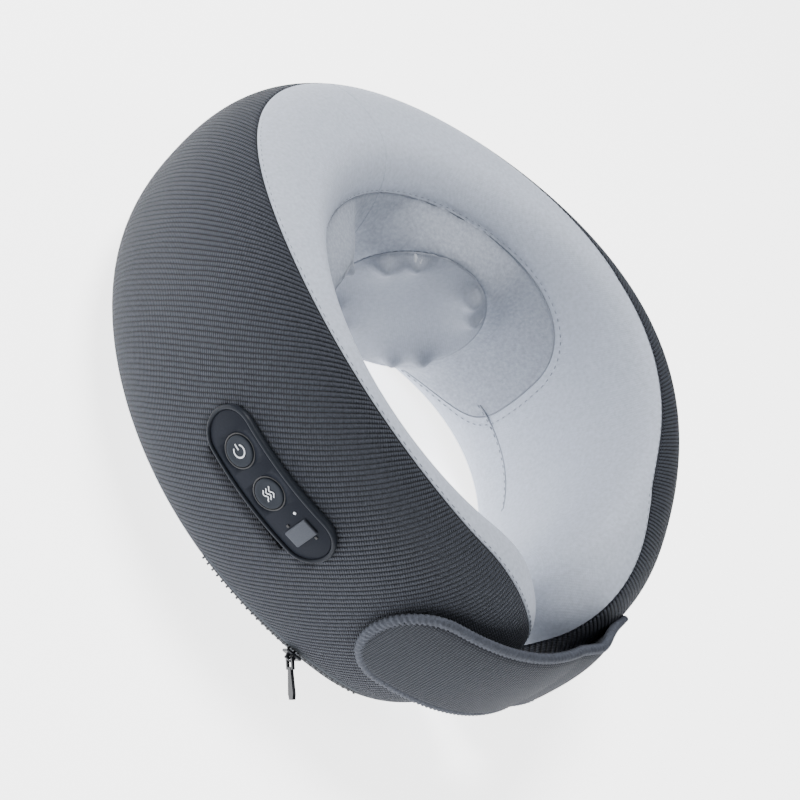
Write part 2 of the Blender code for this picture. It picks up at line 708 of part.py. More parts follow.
def gearbox_base(side):
    round_part, box_part = box_outline(BOX_WALL, BOX_FRONT, BOX_BACK - BOX_FRONT)
    obj = add_object(f"{side_name(side)}_gearbox_base", round_part, "abs")
    cut(obj, cutter_from(box_part), "UNION")
    add_bosses(obj, BOX_FRONT, 8 * MM)
    inner_round, inner_box = box_outline(0, BOX_FRONT - 1 * MM, BOX_BACK - BOX_FRONT - BOX_WALL + 1 * MM)
    cut(obj, cutter_from(inner_round))
    cut(obj, cutter_from(inner_box))
    cut(obj, cutter_from(cylinder_mesh(SHAFT_RADIUS + RUNNING_GAP, 6 * MM, 24, start=BOX_BACK - 4 * MM)))
    drill_screws(obj, BOX_FRONT - 1 * MM, 7 * MM)
    drill = cylinder_mesh(WORM_SHAFT_RADIUS + RUNNING_GAP, BOX_MOTOR_SIDE * 4, 16)
    drill.transform(Matrix.Translation((0, centre_distance(), WHEEL_PLANE)) @ Matrix.Rotation(90 * DEG, 4, "Y"))
    cut(obj, cutter_from(drill))
    return place(obj, spin_matrix(side, 0))


def gearbox_cover(side):
    start = BOX_FRONT - COVER_PLATE
    round_part, box_part = box_outline(BOX_WALL, start, COVER_PLATE - 0.1 * MM)
    obj = add_object(f"{side_name(side)}_gearbox_cover", round_part, "abs")
    cut(obj, cutter_from(box_part), "UNION")
    add_bosses(obj, start, COVER_PLATE - 0.1 * MM)
    cut(obj, cutter_from(cylinder_mesh(BUSH_RADIUS + RUNNING_GAP, 8 * MM, 28, start=start - 2 * MM)))
    drill_screws(obj, start - 1 * MM, 6 * MM)
    return place(obj, spin_matrix(side, 0))


def gearbox_screw(side, number):
    x, y = screw_places()[number]
    top = BOX_FRONT - COVER_PLATE - 0.2 * MM
    loops = [[(x + r * math.cos(a), y + r * math.sin(a), z) for a in np.linspace(0, 2 * math.pi, 13)[:-1]]
             for r, z in ((SCREW_HEAD * 0.8, top - 1.3 * MM), (SCREW_HEAD, top - 0.9 * MM), (SCREW_HEAD, top),
                          (SCREW_RADIUS, top), (SCREW_RADIUS, BOX_FRONT + 5 * MM))]
    obj = add_object(f"{side_name(side)}_gearbox_screw_{number + 1}", loft_mesh(loops), "steel")
    return place(obj, spin_matrix(side, 0))


def motor(side):
    """Small can motor lying level beside the gearbox, its nose on the worm's shaft."""
    nose = -BOX_MOTOR_SIDE - CLEARANCE
    loops = [[(r * math.cos(a), r * math.sin(a), z) for a in np.linspace(0, 2 * math.pi, 19)[:-1]]
             for r, z in ((MOTOR_BOSS, nose), (MOTOR_BOSS, nose - 1.2 * MM), (MOTOR_RADIUS, nose - 1.3 * MM),
                          (MOTOR_RADIUS, nose - MOTOR_LENGTH), (MOTOR_BOSS, nose - MOTOR_LENGTH - 0.1 * MM),
                          (MOTOR_BOSS, nose - MOTOR_LENGTH - 1.5 * MM))]
    obj = add_object(f"{side_name(side)}_motor", loft_mesh(loops), "steel")
    bore = cylinder_mesh(WORM_SHAFT_RADIUS + RUNNING_GAP, 2 * WORM_SHAFT_REACH, 16,
                         start=nose - WORM_SHAFT_REACH - 1 * MM)
    cut(obj, cutter_from(bore))
    return place(obj, worm_matrix(side))


def chassis():
    """Folded plate that carries both gearboxes at their set angle."""
    depth = BOX_BACK + CLEARANCE
    corners = []
    for side, reach in ((1, 24 * MM), (1, -40 * MM), (-1, -40 * MM), (-1, 24 * MM)):
        corners.append(head_matrix(side) @ Vector((reach, depth, 0)))
    bm = bmesh.new()
    low = [bm.verts.new((p.x, p.y, -HEAD_DROP - CHASSIS_LOW)) for p in corners]
    high = [bm.verts.new((p.x, p.y, -HEAD_DROP + CHASSIS_HALF_HEIGHT)) for p in corners]
    for i in range(3):
        bm.faces.new((low[i], high[i], high[i + 1], low[i + 1]))
    mesh = mesh_of("chassis", bm, smooth=False)
    obj = add_object("chassis_plate", mesh, "steel")
    middle = mesh.polygons[1]
    solid = obj.modifiers.new("wall", "SOLIDIFY")
    solid.thickness = CHASSIS_WALL
    solid.offset = -1.0 if middle.normal.y < 0 else 1.0
    solid.use_even_offset = True
    return obj


# ---------------------------------------------------------------- battery and leads
def arm_frame(angle, radius, z=0.0):
    """Local X along the arm away from the nape, Y outward, Z up."""
    side = 1 if angle > 0 else -1
    out = Vector((math.sin(angle), math.cos(angle), 0))
    along = Vector((math.cos(angle), -math.sin(angle), 0)) * side
    matrix = Matrix.Identity(4)
    for row in range(3):
        matrix[row][0] = along[row]
        matrix[row][1] = out[row]
        matrix[row][2] = (0, 0, 1)[row]
    return matrix_at(matrix, out * radius + Vector((0, 0, z)))


def matrix_at(matrix, place_at):
    moved = matrix.copy()
    for row in range(3):
        moved[row][3] = place_at[row]
    return moved


def battery_frame():
    return arm_frame(BATTERY_ANGLE, float(ring_radius(BATTERY_ANGLE)))


def battery_pack():
    obj = add_object("battery_pack", box_mesh(BATTERY_SIZE, (0, 0, 0), 3 * MM), "cell")
    return place(obj, battery_frame())


def foam_pocket(foam):
    size = [length + 1.2 * MM for length in BATTERY_SIZE]
    pocket = box_mesh(size)
    cut(foam, cutter_from(pocket, battery_frame()))
    length = BATTERY_SIZE[0] + 40 * MM
    channel = box_mesh((length, LEAD_CHANNEL, LEAD_CHANNEL), (-length / 2, 0, LEAD_LEVEL))
    cut(foam, cutter_from(channel, battery_frame()))


def pod_channel(foam):
    """A pocket behind the control pod, with a way out to the hinge end for the lead."""
    cut(foam, cutter_from(pill_mesh(POD_LENGTH + 1.2 * MM, POD_WIDTH + 1.2 * MM,
                                    -POD_DEPTH - 0.8 * MM, 6 * MM)))
    frame = pod_frame(0)
    channel = box_mesh((60 * MM, LEAD_CHANNEL, 2 * LEAD_CHANNEL),
                       (-30 * MM + LEAD_CHANNEL, 0, -POD_DEPTH - LEAD_CHANNEL))
    cut(foam, cutter_from(channel, frame))


def tube(name, points, radius, finish):
    curve = bpy.data.curves.new(name, "CURVE")
    curve.dimensions = "3D"
    curve.bevel_depth = radius
    curve.bevel_resolution = 2
    curve.use_fill_caps = True
    spline = curve.splines.new("POLY")
    spline.points.add(len(points) - 1)
    for spot, point in zip(spline.points, points):
        spot.co = (*point, 1)
    obj = bpy.data.objects.new(name, curve)
    PARTS.objects.link(obj)
    curve.materials.append(material(finish))
    return obj


def battery_lead():
    frame = battery_frame()
    start = -BATTERY_SIZE[0] / 2 - 0.5 * MM
    stop = start - 14 * MM
    points = [frame @ Vector((x, 0, LEAD_LEVEL)) for x in np.linspace(start, stop, 6)]
    return tube("battery_lead", points, LEAD_RADIUS, "lead")


def control_lead():
    turn = np.linspace(0, math.pi / 2, 6)
    bend = 5 * MM
    drop = POD_HOLE_PLACE
    route = [(drop, -POD_DEPTH + 1 * MM), (drop, -POD_DEPTH - 0.5 * MM)]
    route += [(drop - bend * (1 - math.cos(a)), -POD_DEPTH - 1 * MM - bend * math.sin(a)) for a in turn]
    route += [(x, -POD_DEPTH - 1 * MM - bend) for x in np.linspace(drop - bend - 3 * MM, -33 * MM, 5)]
    frame = pod_frame(0)
    return tube("control_lead", [frame @ Vector((x, 0, z)) for x, z in route], LEAD_RADIUS, "lead")


def core_lead(side):
    """From the arm hinge, behind the gearbox, to the motor's end."""
    angles = np.linspace(HINGE_ANGLE - 2 * DEG, 16 * DEG, 15)
    share = np.linspace(0, 1, 15)
    radius = (LEAD_ARM_RADIUS + (LEAD_NAPE_RADIUS - LEAD_ARM_RADIUS)
              * np.sin(np.clip(share * 2, 0, 1) * math.pi / 2))
    level = LEAD_LOW * np.ones(15)
    points = [(side * r * math.sin(a), r * math.cos(a), z) for a, r, z in zip(angles, radius, level)]
    return tube(f"{side_name(side)}_motor_lead", points, LEAD_RADIUS, "lead")


# ---------------------------------------------------------------- control pod
def pod_frame(along):
    """Local X along the pod towards the arm's end, Y up the pod, Z outward."""
    step = 0.5 * DEG
    centre = Vector(skin(POD_ANGLE, 0.0))
    ahead = Vector(skin(POD_ANGLE - step, 0.0)) - Vector(skin(POD_ANGLE + step, 0.0))
    up = (Vector(skin(POD_ANGLE, step)) - Vector(skin(POD_ANGLE, -step))).normalized()
    ahead = (ahead - up * ahead.dot(up)).normalized()
    ahead = (ahead + up * math.tan(POD_TILT)).normalized()
    out = ahead.cross(up).normalized()
    if out.dot(centre) < 0:
        out = -out
    up = out.cross(ahead).normalized()
    if up.z < 0:
        up, out = -up, out
    bend = along / POD_BEND
    origin = centre + up * POD_RISE - out * POD_BEND
    turned_out = out * math.cos(bend) + ahead * math.sin(bend)
    turned_ahead = ahead * math.cos(bend) - out * math.sin(bend)
    matrix = Matrix.Identity(4)
    for row in range(3):
        matrix[row][0] = turned_ahead[row]
        matrix[row][1] = up[row]
        matrix[row][2] = turned_out[row]
    return matrix_at(matrix, origin + turned_out * POD_BEND)


def pill_mesh(length, width, low, high, columns=15, rows=2):
    """A bent pill-shaped plate between two depths, in world axes."""
    u = np.sin(np.linspace(-0.995, 0.995, columns) * math.pi / 2)
    top, bottom = [], []
    for share in u:
        x = share * length / 2
        beyond = max(abs(x) - (length - width) / 2, 0)
        half = math.sqrt(max((width / 2) ** 2 - beyond ** 2, 0))
        frame = pod_frame(x)
        spots = half * np.linspace(-1, 1, rows)
        top.append([frame @ Vector((0, y, high)) for y in spots])
        bottom.append([frame @ Vector((0, y, low)) for y in spots])
    return shell_mesh(np.array(top), np.array(bottom))


def control_pod():
    obj = add_object("control_pod", pill_mesh(POD_LENGTH, POD_WIDTH, -POD_DEPTH, -0.6 * MM), "abs")
    room = 2 * POD_WALL
    cut(obj, cutter_from(pill_mesh(POD_LENGTH - room, POD_WIDTH - room, -POD_DEPTH + POD_WALL, 2 * MM)))
    hole = cylinder_mesh(LEAD_RADIUS + 0.6 * MM, 6 * MM, 12)
    cut(obj, cutter_from(hole, pod_frame(0) @ Matrix.Translation((POD_HOLE_PLACE, 0, -POD_DEPTH))))
    return obj


def control_bezel():
    obj = add_object("control_bezel", pill_mesh(POD_LENGTH + 1.6 * MM, POD_WIDTH + 1.6 * MM,
                                                0.5 * MM, POD_PROUD + 0.7 * MM), "gloss")
    room = 2 * BEZEL_WIDTH - 1.6 * MM
    return cut(obj, cutter_from(pill_mesh(POD_LENGTH - room, POD_WIDTH - room, -1 * MM, 5 * MM)))


def control_face():
    room = 2 * BEZEL_WIDTH - 1.6 * MM + 2 * CLEARANCE
    obj = add_object("control_face", pill_mesh(POD_LENGTH - room, POD_WIDTH - room,
                                               POD_PROUD - FACE_DEPTH, POD_PROUD), "gloss")
    for along, radius in ((POWER_PLACE, BUTTON_RADIUS + BUTTON_RING_GAP),
                          (HEAT_PLACE, BUTTON_RADIUS + BUTTON_RING_GAP), (LED_PLACE, LED_RADIUS + 0.2 * MM)):
        cut(obj, cutter_from(cylinder_mesh(radius, 10 * MM, 32), pod_frame(along)))
    size = (PORT_COVER_SIZE[0] + 2 * CLEARANCE, PORT_COVER_SIZE[1] + 2 * CLEARANCE, 10 * MM)
    cut(obj, cutter_from(box_mesh(size), pod_frame(PORT_PLACE)))
    return obj


def button(name, along):
    top = POD_PROUD + 0.35 * MM
    flange = POD_PROUD - FACE_DEPTH - 0.3 * MM
    loops = [[(r * math.cos(a), r * math.sin(a), z) for a in np.linspace(0, 2 * math.pi, 25)[:-1]]
             for r, z in ((BUTTON_RADIUS + 1 * MM, BUTTON_BOTTOM), (BUTTON_RADIUS + 1 * MM, flange),
                          (BUTTON_RADIUS, flange), (BUTTON_RADIUS, top - 0.5 * MM),
                          (BUTTON_RADIUS - 0.5 * MM, top))]
    return place(add_object(name, loft_mesh(loops), "button"), pod_frame(along))


def status_led():
    mesh = cylinder_mesh(LED_RADIUS, 5 * MM, 16, start=POD_PROUD - 5.1 * MM)
    return place(add_object("status_led", mesh, "led"), pod_frame(LED_PLACE))


def usb_port():
    size = (PORT_SIZE[0], PORT_SIZE[1], 4.3 * MM)
    top = POD_PROUD - FACE_DEPTH - 0.5 * MM
    obj = add_object("usb_port", box_mesh(size, (0, 0, top - size[2] / 2), 0.9 * MM), "steel")
    inside = box_mesh((size[0] - 0.7 * MM, size[1] - 0.7 * MM, size[2]), (0, 0, top - size[2] / 2 + 1 * MM), 0.7 * MM)
    cut(obj, cutter_from(inside))
    return place(obj, pod_frame(PORT_PLACE))


def usb_cover():
    top = POD_PROUD + 0.5 * MM
    size = (PORT_COVER_SIZE[0], PORT_COVER_SIZE[1], PORT_COVER_WALL)
    obj = add_object("usb_cover", box_mesh(size, (0, 0, top - size[2] / 2), 0.5 * MM), "rubber")
    return place(obj, pod_frame(PORT_PLACE))


def control_board():
    obj = add_object("control_board", pill_mesh(POD_LENGTH - 5 * MM, POD_WIDTH - 5 * MM,
                                                BOARD_TOP - BOARD_WALL, BOARD_TOP), "board")
    return obj


def tact_switch(name, along):
    height = BUTTON_BOTTOM - BUTTON_TRAVEL_ROOM - BOARD_TOP - 0.2 * MM
    centre = (0, 0, BOARD_TOP + 0.2 * MM + height / 2)
    obj = add_object(name, box_mesh((SWITCH_SIZE, SWITCH_SIZE, height), centre, 0.3 * MM), "abs")
    return place(obj, pod_frame(along))


# ---------------------------------------------------------------- strap
def strap_grid(start, stop, half_width, lift, columns, rows, rise=STRAP_RISE):
    """Points over both arm ends; the free end is round, the root square."""
    t = start + (stop - start) * np.sin(np.linspace(0, 1, columns) * math.pi / 2)
    end_round = half_width / STRAP_RADIUS
    past = np.clip((t - (stop - end_round)) / end_round, 0, 0.995)
    half = half_width * np.sqrt(1 - past ** 2)
    v = np.linspace(-1, 1, rows)
    level = rise + half[:, None] * v[None]
    t = t[:, None] + 0 * level
    near = np.clip(1 - np.abs(t - math.pi) / (28 * DEG), 0, 1)
    ring_t = np.where(t > math.pi, t - 2 * math.pi, t)
    middle = -SIDE_RISE * np.cos(2 * ring_t)
    height = HALF_HEIGHT + HALF_HEIGHT_WAVE * np.cos(2 * ring_t)
    reach = (1 - (np.abs(level - middle) / height) ** SECTION_POWER) ** (1 / SECTION_POWER)
    lean = LEAN_MEAN + LEAN_NAPE * np.cos(ring_t)
    radius = (ring_radius(ring_t) + out_thickness(ring_t) * (1 - STRAP_BRIDGE * near ** 2) * reach
              + (level - middle) * np.sin(lean) + lift)
    return np.stack([radius * np.sin(t), radius * np.cos(t), level], -1)


def strap():
    args = (STRAP_ROOT, STRAP_TIP, STRAP_HALF_WIDTH)
    outer = strap_grid(*args, STRAP_LIFT + STRAP_WALL, 21, 5)
    inner = strap_grid(*args, STRAP_LIFT, 21, 5)
    return add_object("strap", shell_mesh(outer, inner), "dark_knit")


def strap_hook_patch():
    args = (STRAP_TIP - 34 * DEG, STRAP_TIP - 5 * DEG, PATCH_HALF_WIDTH)
    outer = strap_grid(*args, STRAP_LIFT - 0.3 * MM, 9, 3)
    inner = strap_grid(*args, STRAP_LIFT - 0.3 * MM - PATCH_WALL, 9, 3)
    return add_object("strap_hook_patch", shell_mesh(outer, inner), "rubber")


def arm_loop_patch():
    args = (STRAP_TIP - 33 * DEG, STRAP_TIP - 4 * DEG, PATCH_HALF_WIDTH)
    outer = strap_grid(*args, CLEARANCE + PATCH_WALL, 9, 3)
    inner = strap_grid(*args, CLEARANCE, 9, 3)
    return add_object("arm_loop_patch", shell_mesh(outer, inner), "rubber")


# ---------------------------------------------------------------- zip
def skin_at_level(t, level):
    s = np.linspace(-89 * DEG, 0, 400)
    points = skin(t, s)
    return np.array([np.interp(level, points[:, 2], points[:, axis]) for axis in (0, 1)])


def zip_centre():
    """Centre of the circle through three points of the skin at the zip's level."""
    a, b, c = [skin_at_level(t, ZIP_LEVEL) for t in (ZIP_FROM, (ZIP_FROM + ZIP_TO) / 2, ZIP_TO)]
    d = 2 * (a[0] * (b[1] - c[1]) + b[0] * (c[1] - a[1]) + c[0] * (a[1] - b[1]))
    x = ((a @ a) * (b[1] - c[1]) + (b @ b) * (c[1] - a[1]) + (c @ c) * (a[1] - b[1])) / d
    y = ((a @ a) * (c[0] - b[0]) + (b @ b) * (a[0] - c[0]) + (c @ c) * (b[0] - a[0])) / d
    return np.array([x, y])


def zip_radius(level):
    """The zip's outer face is a cone about the centre, clear of the skin everywhere."""
    centre = zip_centre()
    angles = np.linspace(ZIP_FROM, ZIP_TO, 15)
    return max(np.hypot(*(skin_at_level(t, level) - centre)) for t in angles) + ZIP_WALL


def zip_tape():
    centre = zip_centre()
    levels = ZIP_LEVEL + ZIP_WIDTH * np.linspace(-0.5, 0.5, 3)
    edge = [zip_radius(level) for level in (levels[0], levels[-1])]
    outer, inner = [], []
    for t in np.linspace(ZIP_FROM, ZIP_TO, 19):
        outer_row, inner_row = [], []
        for k, level in enumerate(levels):
            on_skin = skin_at_level(t, level)
            away = (on_skin - centre) / np.hypot(*(on_skin - centre))
            radius = edge[0] + (edge[1] - edge[0]) * k / 2
            outer_row.append([*(centre + away * radius), level])
            inner_row.append([*(on_skin + away * (CLEARANCE + 0.25 * MM)), level])
        outer.append(outer_row)
        inner.append(inner_row)
    return add_object("zip_tape", shell_mesh(np.array(outer), np.array(inner)), "rubber")


def zip_frame():
    """At the slider: local X along the zip to the arm's end, Z out of the cone, Y across."""
    centre = zip_centre()
    on_skin = skin_at_level(ZIP_SLIDER_ANGLE, ZIP_LEVEL)
    away = (on_skin - centre) / np.hypot(*(on_skin - centre))
    low, high = zip_radius(ZIP_LEVEL - ZIP_WIDTH / 2), zip_radius(ZIP_LEVEL + ZIP_WIDTH / 2)
    across = Vector((away[0] * (high - low), away[1] * (high - low), ZIP_WIDTH)).normalized()
    along = Vector((-away[1], away[0], 0))
    along = -along if along.dot(Vector(skin(ZIP_TO, 0.0)) - Vector(skin(ZIP_FROM, 0.0))) < 0 else along
    out = along.cross(across)
    out = -out if out.dot(Vector((*away, 0))) < 0 else out
    matrix = Matrix.Identity(4)
    for row in range(3):
        matrix[row][0] = along[row]
        matrix[row][1] = across[row]
        matrix[row][2] = out[row]
    spot = centre + away * (low + high) / 2
    return matrix_at(matrix, Vector((*spot, ZIP_LEVEL)))


def zip_slider():
    """A body over the teeth with a bridge that the pull hangs from."""
    obj = add_object("zip_slider", box_mesh((7 * MM, 4.6 * MM, 1.2 * MM), (0, 0, 1.1 * MM), 0.4 * MM), "steel")
    cut(obj, cutter_from(box_mesh((4 * MM, 1.4 * MM, 2.4 * MM), (0, 0, 2.4 * MM), 0.3 * MM)), "UNION")
    tunnel = cylinder_mesh(0.75 * MM, 10 * MM, 12)
    tunnel.transform(Matrix.Translation((0, 0, ZIP_PIN_HEIGHT)) @ Matrix.Rotation(90 * DEG, 4, "X"))
    cut(obj, cutter_from(tunnel))
    return place(obj, zip_frame())


def zip_pull():
    """A wire eye round the slider's bridge pin, then a flat tapered tab."""
    frame = zip_frame() @ Matrix.Translation((0, 0, ZIP_PIN_HEIGHT)) @ Matrix.Rotation(ZIP_PULL_LEAN, 4, "Y")
    obj = add_object("zip_pull", box_mesh((1.0 * MM, 5.2 * MM, 1.0 * MM), (0, 0, 0), 0.25 * MM), "steel")
    for side in (-1, 1):
        post = box_mesh((1.0 * MM, 1.1 * MM, 4.6 * MM), (0, side * 2.1 * MM, 1.9 * MM))
        cut(obj, cutter_from(post), "UNION")
    cut(obj, cutter_from(box_mesh((1.0 * MM, 5.2 * MM, 1.1 * MM), (0, 0, 3.7 * MM), 0.25 * MM)), "UNION")
    half, low, high = 0.6 * MM, 3.4 * MM, ZIP_PULL_LENGTH
    loops = [[(-half, -w, z), (half, -w, z), (half, w, z), (-half, w, z)]
             for w, z in ((1.1 * MM, low), (1.3 * MM, low + 2 * MM), (2.1 * MM, high - 2 * MM), (1.5 * MM, high))]
    cut(obj, cutter_from(loft_mesh(loops)), "UNION")
    return place(obj, frame)


# ---------------------------------------------------------------- joints
def hinge_place(side):
    """The fold line of the fabric, just outside the thickest part of the arm's root."""
    angle = side * HINGE_ANGLE
    points = skin(angle, np.linspace(-90 * DEG, 90 * DEG, 181))
    radius = np.hypot(points[:, 0], points[:, 1]).max() + HINGE_GAP
    return Vector((radius * math.sin(angle), radius * math.cos(angle), 0))


def strap_place():
    row = strap_grid(STRAP_ROOT, STRAP_TIP, STRAP_HALF_WIDTH, STRAP_LIFT, 21, 5)[0]
    return Vector(row[len(row) // 2])


def usb_cover_hinge():
    edge = -PORT_COVER_SIZE[0] / 2 + 0.7 * MM
    return pod_frame(PORT_PLACE) @ Vector((edge, 0, POD_PROUD + 0.5 * MM - PORT_COVER_WALL / 2))


def joint_places():
    """Each moving body's joint position and the nodes that it carries."""
    places = []
    arms = {1: ["battery_pack", "battery_lead"],
            -1: ["arm_loop_patch", "control_pod", "control_bezel", "control_face", "status_led", "usb_port",
                 "control_board", "power_switch", "heat_switch", "control_lead", "zip_tape"]}
    for side in (1, -1):
        name = side_name(side)
        nodes = [f"outer_cover_{name}", f"inner_cover_{name}", f"{name}_arm_foam", f"{name}_heating_film"]
        places.append((hinge_place(side), nodes + arms[side]))
        spin = head_matrix(side) @ Vector((0, WHEEL_PLANE, 0))
        places.append((spin, [f"{name}_{node}" for node in ("worm_wheel", "head_shaft", "head_carrier",
                                                             "massage_head")]))
        places.append((worm_matrix(side).translation, [f"{name}_worm"]))
    places.append((strap_place(), ["strap", "strap_hook_patch"]))
    places.append((pod_frame(POWER_PLACE).translation, ["power_button"]))
    places.append((pod_frame(HEAT_PLACE).translation, ["heat_button"]))
    places.append((usb_cover_hinge(), ["usb_cover"]))
    places.append((Vector((*zip_centre(), ZIP_LEVEL)), ["zip_slider"]))
    places.append((zip_frame() @ Vector((0, 0, ZIP_PIN_HEIGHT)), ["zip_pull"]))
    return places


def lowest_and_middle():
    """Middle of the assembly's box in X and Y, and its lowest Z."""
    graph = bpy.context.evaluated_depsgraph_get()
    low, high = Vector((1, 1, 1)), Vector((-1, -1, -1))
    for obj in PARTS.objects:
        mesh = obj.evaluated_get(graph).to_mesh()
        for vertex in mesh.vertices:
            low = Vector(map(min, low, vertex.co))
            high = Vector(map(max, high, vertex.co))
    return Vector(((low.x + high.x) / 2, (low.y + high.y) / 2, low.z))


def set_origins():
    """Rest the base on z = 0, centred, and put each moving piece's origin on its joint."""
    bpy.context.view_layer.update()
    base = lowest_and_middle()
    for obj in PARTS.objects:
        obj.location = -base
    for spot, names in joint_places():
        for name in names:
            obj = bpy.data.objects[name]
            obj.data.transform(Matrix.Translation(-spot))
            obj.location = spot - base


# ---------------------------------------------------------------- assembly
def build():
    core_outer_cover()
    core_inner_cover()
    massage_panel()
    nape_foam()
    chassis()
    for side in (1, -1):
        arm_outer_cover(side)
        arm_inner_cover(side)
        foam = arm_foam(side)
        if side > 0:
            foam_pocket(foam)
        else:
            pod_channel(foam)
            cut(bpy.data.objects["outer_cover_right"],
                cutter_from(pill_mesh(POD_LENGTH + 2 * CLEARANCE, POD_WIDTH + 2 * CLEARANCE, -8 * MM, 6 * MM)))
        heating_film(side)
        gearbox_base(side)
        gearbox_cover(side)
        for number in (0, 1):
            gearbox_screw(side, number)
        motor(side)
        front_bush(side)
        worm_wheel(side)
        worm(side)
        head_shaft(side)
        head_carrier(side)
        massage_head(side)
        core_lead(side)
    battery_pack()
    battery_lead()
    control_pod()
    control_bezel()
    control_face()
    button("power_button", POWER_PLACE)
    button("heat_button", HEAT_PLACE)
    status_led()
    usb_port()
    usb_cover()
    control_board()
    tact_switch("power_switch", POWER_PLACE)
    tact_switch("heat_switch", HEAT_PLACE)
    control_lead()
    strap()
    strap_hook_patch()
    arm_loop_patch()
    zip_tape()
    zip_slider()
    zip_pull()
    set_origins()


clear_scene()
PARTS = new_collection(NAME)
CUTTERS = new_collection("cutters")
build()
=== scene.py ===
"""The looks of the neck massager: knit skins, draped heads, strap, key pod and zip."""

import json
import math

import bmesh
import bpy
import numpy as np
from mathutils import Matrix, Vector


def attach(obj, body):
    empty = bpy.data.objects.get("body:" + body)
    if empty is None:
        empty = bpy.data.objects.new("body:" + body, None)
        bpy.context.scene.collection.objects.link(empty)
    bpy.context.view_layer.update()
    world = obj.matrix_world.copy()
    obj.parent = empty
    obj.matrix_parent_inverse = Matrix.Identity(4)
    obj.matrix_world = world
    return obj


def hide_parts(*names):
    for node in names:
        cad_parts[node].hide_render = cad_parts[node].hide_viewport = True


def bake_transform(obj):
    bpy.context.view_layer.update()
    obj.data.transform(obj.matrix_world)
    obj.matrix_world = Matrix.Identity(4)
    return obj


MM = 0.001
DEG = math.pi / 180

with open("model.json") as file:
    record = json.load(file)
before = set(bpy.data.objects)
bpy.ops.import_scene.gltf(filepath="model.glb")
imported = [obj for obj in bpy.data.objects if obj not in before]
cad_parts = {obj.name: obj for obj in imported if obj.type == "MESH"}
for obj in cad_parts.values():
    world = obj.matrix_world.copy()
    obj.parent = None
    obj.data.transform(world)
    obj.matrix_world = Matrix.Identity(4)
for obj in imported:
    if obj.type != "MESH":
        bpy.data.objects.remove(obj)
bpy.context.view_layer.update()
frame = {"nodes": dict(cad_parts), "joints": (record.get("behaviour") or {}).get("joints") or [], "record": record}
JOINTS = {joint["name"]: joint for joint in frame["joints"]}

# ---- the body's law, as in the CAD source
RING_RADIUS, RING_NAPE_SHIFT, RING_OVAL, RING_SQUARE = 89.9 * MM, 10.4 * MM, -1.0 * MM, 1.3 * MM
OUT_MEAN, OUT_NAPE, OUT_ENDS, NECK_SHARE = 31.0 * MM, 4.8 * MM, 6.0 * MM, 0.647
HALF_HEIGHT, HALF_HEIGHT_NAPE, HALF_HEIGHT_WAVE = 49.6 * MM, 3.9 * MM, -0.8 * MM
SIDE_RISE, LEAN_MEAN, LEAN_NAPE, SECTION_POWER = 6.2 * MM, 3.8 * DEG, 1.6 * DEG, 2.42
FLOOR_DROP, FLOOR_ROUND = 51.0 * MM, 1.5 * MM
END_ANGLE, END_ROUND, END_POWER = 177.3 * DEG, 36.8 * DEG, 2.39
DARK_END_ANGLE, DARK_END_ROUND = 175.0 * DEG, 34.3 * DEG
SEAM_TOP, SEAM_TOP_NAPE, SEAM_TOP_WAVE, SEAM_BOTTOM = 72.5 * DEG, -12.7 * DEG, -11.3 * DEG, 96.5 * DEG
SEAM_LEFT_RISE = 12 * DEG
HINGE_ANGLE, HINGE_GAP = 80 * DEG, 0.3 * MM
# ---- oval panel and heads
PANEL_HALF_ANGLE, PANEL_CENTRE, PANEL_HALF_WIDTH, PANEL_POWER = 85 * DEG, 193 * DEG, 55 * DEG, 2.6
HEAD_ANGLE, HEAD_DROP = 34 * DEG, 5 * MM
TIP_CIRCLE, TIP_SPREAD, TIP_TURN = 28 * MM, 12 * DEG, 45 * DEG
BIG_TIP, SMALL_TIP = 4.2 * MM, 3.0 * MM
DISC_PLANE, DISC_RADIUS, DISC_TOP = 63.3 * MM, 33.2 * MM, 56.6 * MM
DRAPE_WIDTH, SEAM_ROOM = 16 * MM, 45 * MM
# ---- seams and knit
SEAM_ROLL = 1.3 * MM
RIB_PITCH, RIB_BIAS = 2.2 * MM, 0.65
STITCH_PITCH = 3.2 * MM
COVER_WALL, NAPE_LAP, LAP_STEP = 1.8 * MM, 1.2 * DEG, 0.05 * MM
# ---- key pod
POD_ANGLE, POD_LENGTH, POD_WIDTH, POD_BEND = -101 * DEG, 63 * MM, 20 * MM, 118 * MM
POD_RISE, POD_PROUD = 7.5 * MM, 1.0 * MM
BUTTON_RADIUS, POWER_PLACE, HEAT_PLACE = 6.0 * MM, -15.5 * MM, 2.0 * MM
LED_PLACE, PORT_PLACE, PORT_COVER_SIZE = 12.0 * MM, 19.3 * MM, (6.2 * MM, 11.0 * MM)
# ---- strap
STRAP_ROOT, STRAP_TIP, STRAP_HALF_WIDTH = 156 * DEG, 227.5 * DEG, 21.5 * MM
STRAP_LIFT, STRAP_WALL, STRAP_RISE, STRAP_BRIDGE = 2.1 * MM, 2.4 * MM, 3.5 * MM, 0.12
STRAP_RADIUS = 107 * MM
# ---- zip
ZIP_FROM, ZIP_TO, ZIP_LEVEL, ZIP_WIDTH = -104 * DEG, -148 * DEG, -38 * MM, 5 * MM


# ---------------------------------------------------------------- meshes
def new_mesh(name, vertices, faces, uv=None, smooth=True):
    mesh = bpy.data.meshes.new(name)
    mesh.from_pydata([tuple(map(float, v)) for v in vertices], [], faces)
    if uv is not None:
        layer = mesh.uv_layers.new(name="UVMap")
        index = np.zeros(len(mesh.loops), np.int32)
        mesh.loops.foreach_get("vertex_index", index)
        layer.data.foreach_set("uv", np.asarray(uv, np.float32)[index].ravel())
    if smooth:
        mesh.polygons.foreach_set("use_smooth", [True] * len(mesh.polygons))
    mesh.update()
    obj = bpy.data.objects.new(name, mesh)
    bpy.context.scene.collection.objects.link(obj)
    return obj


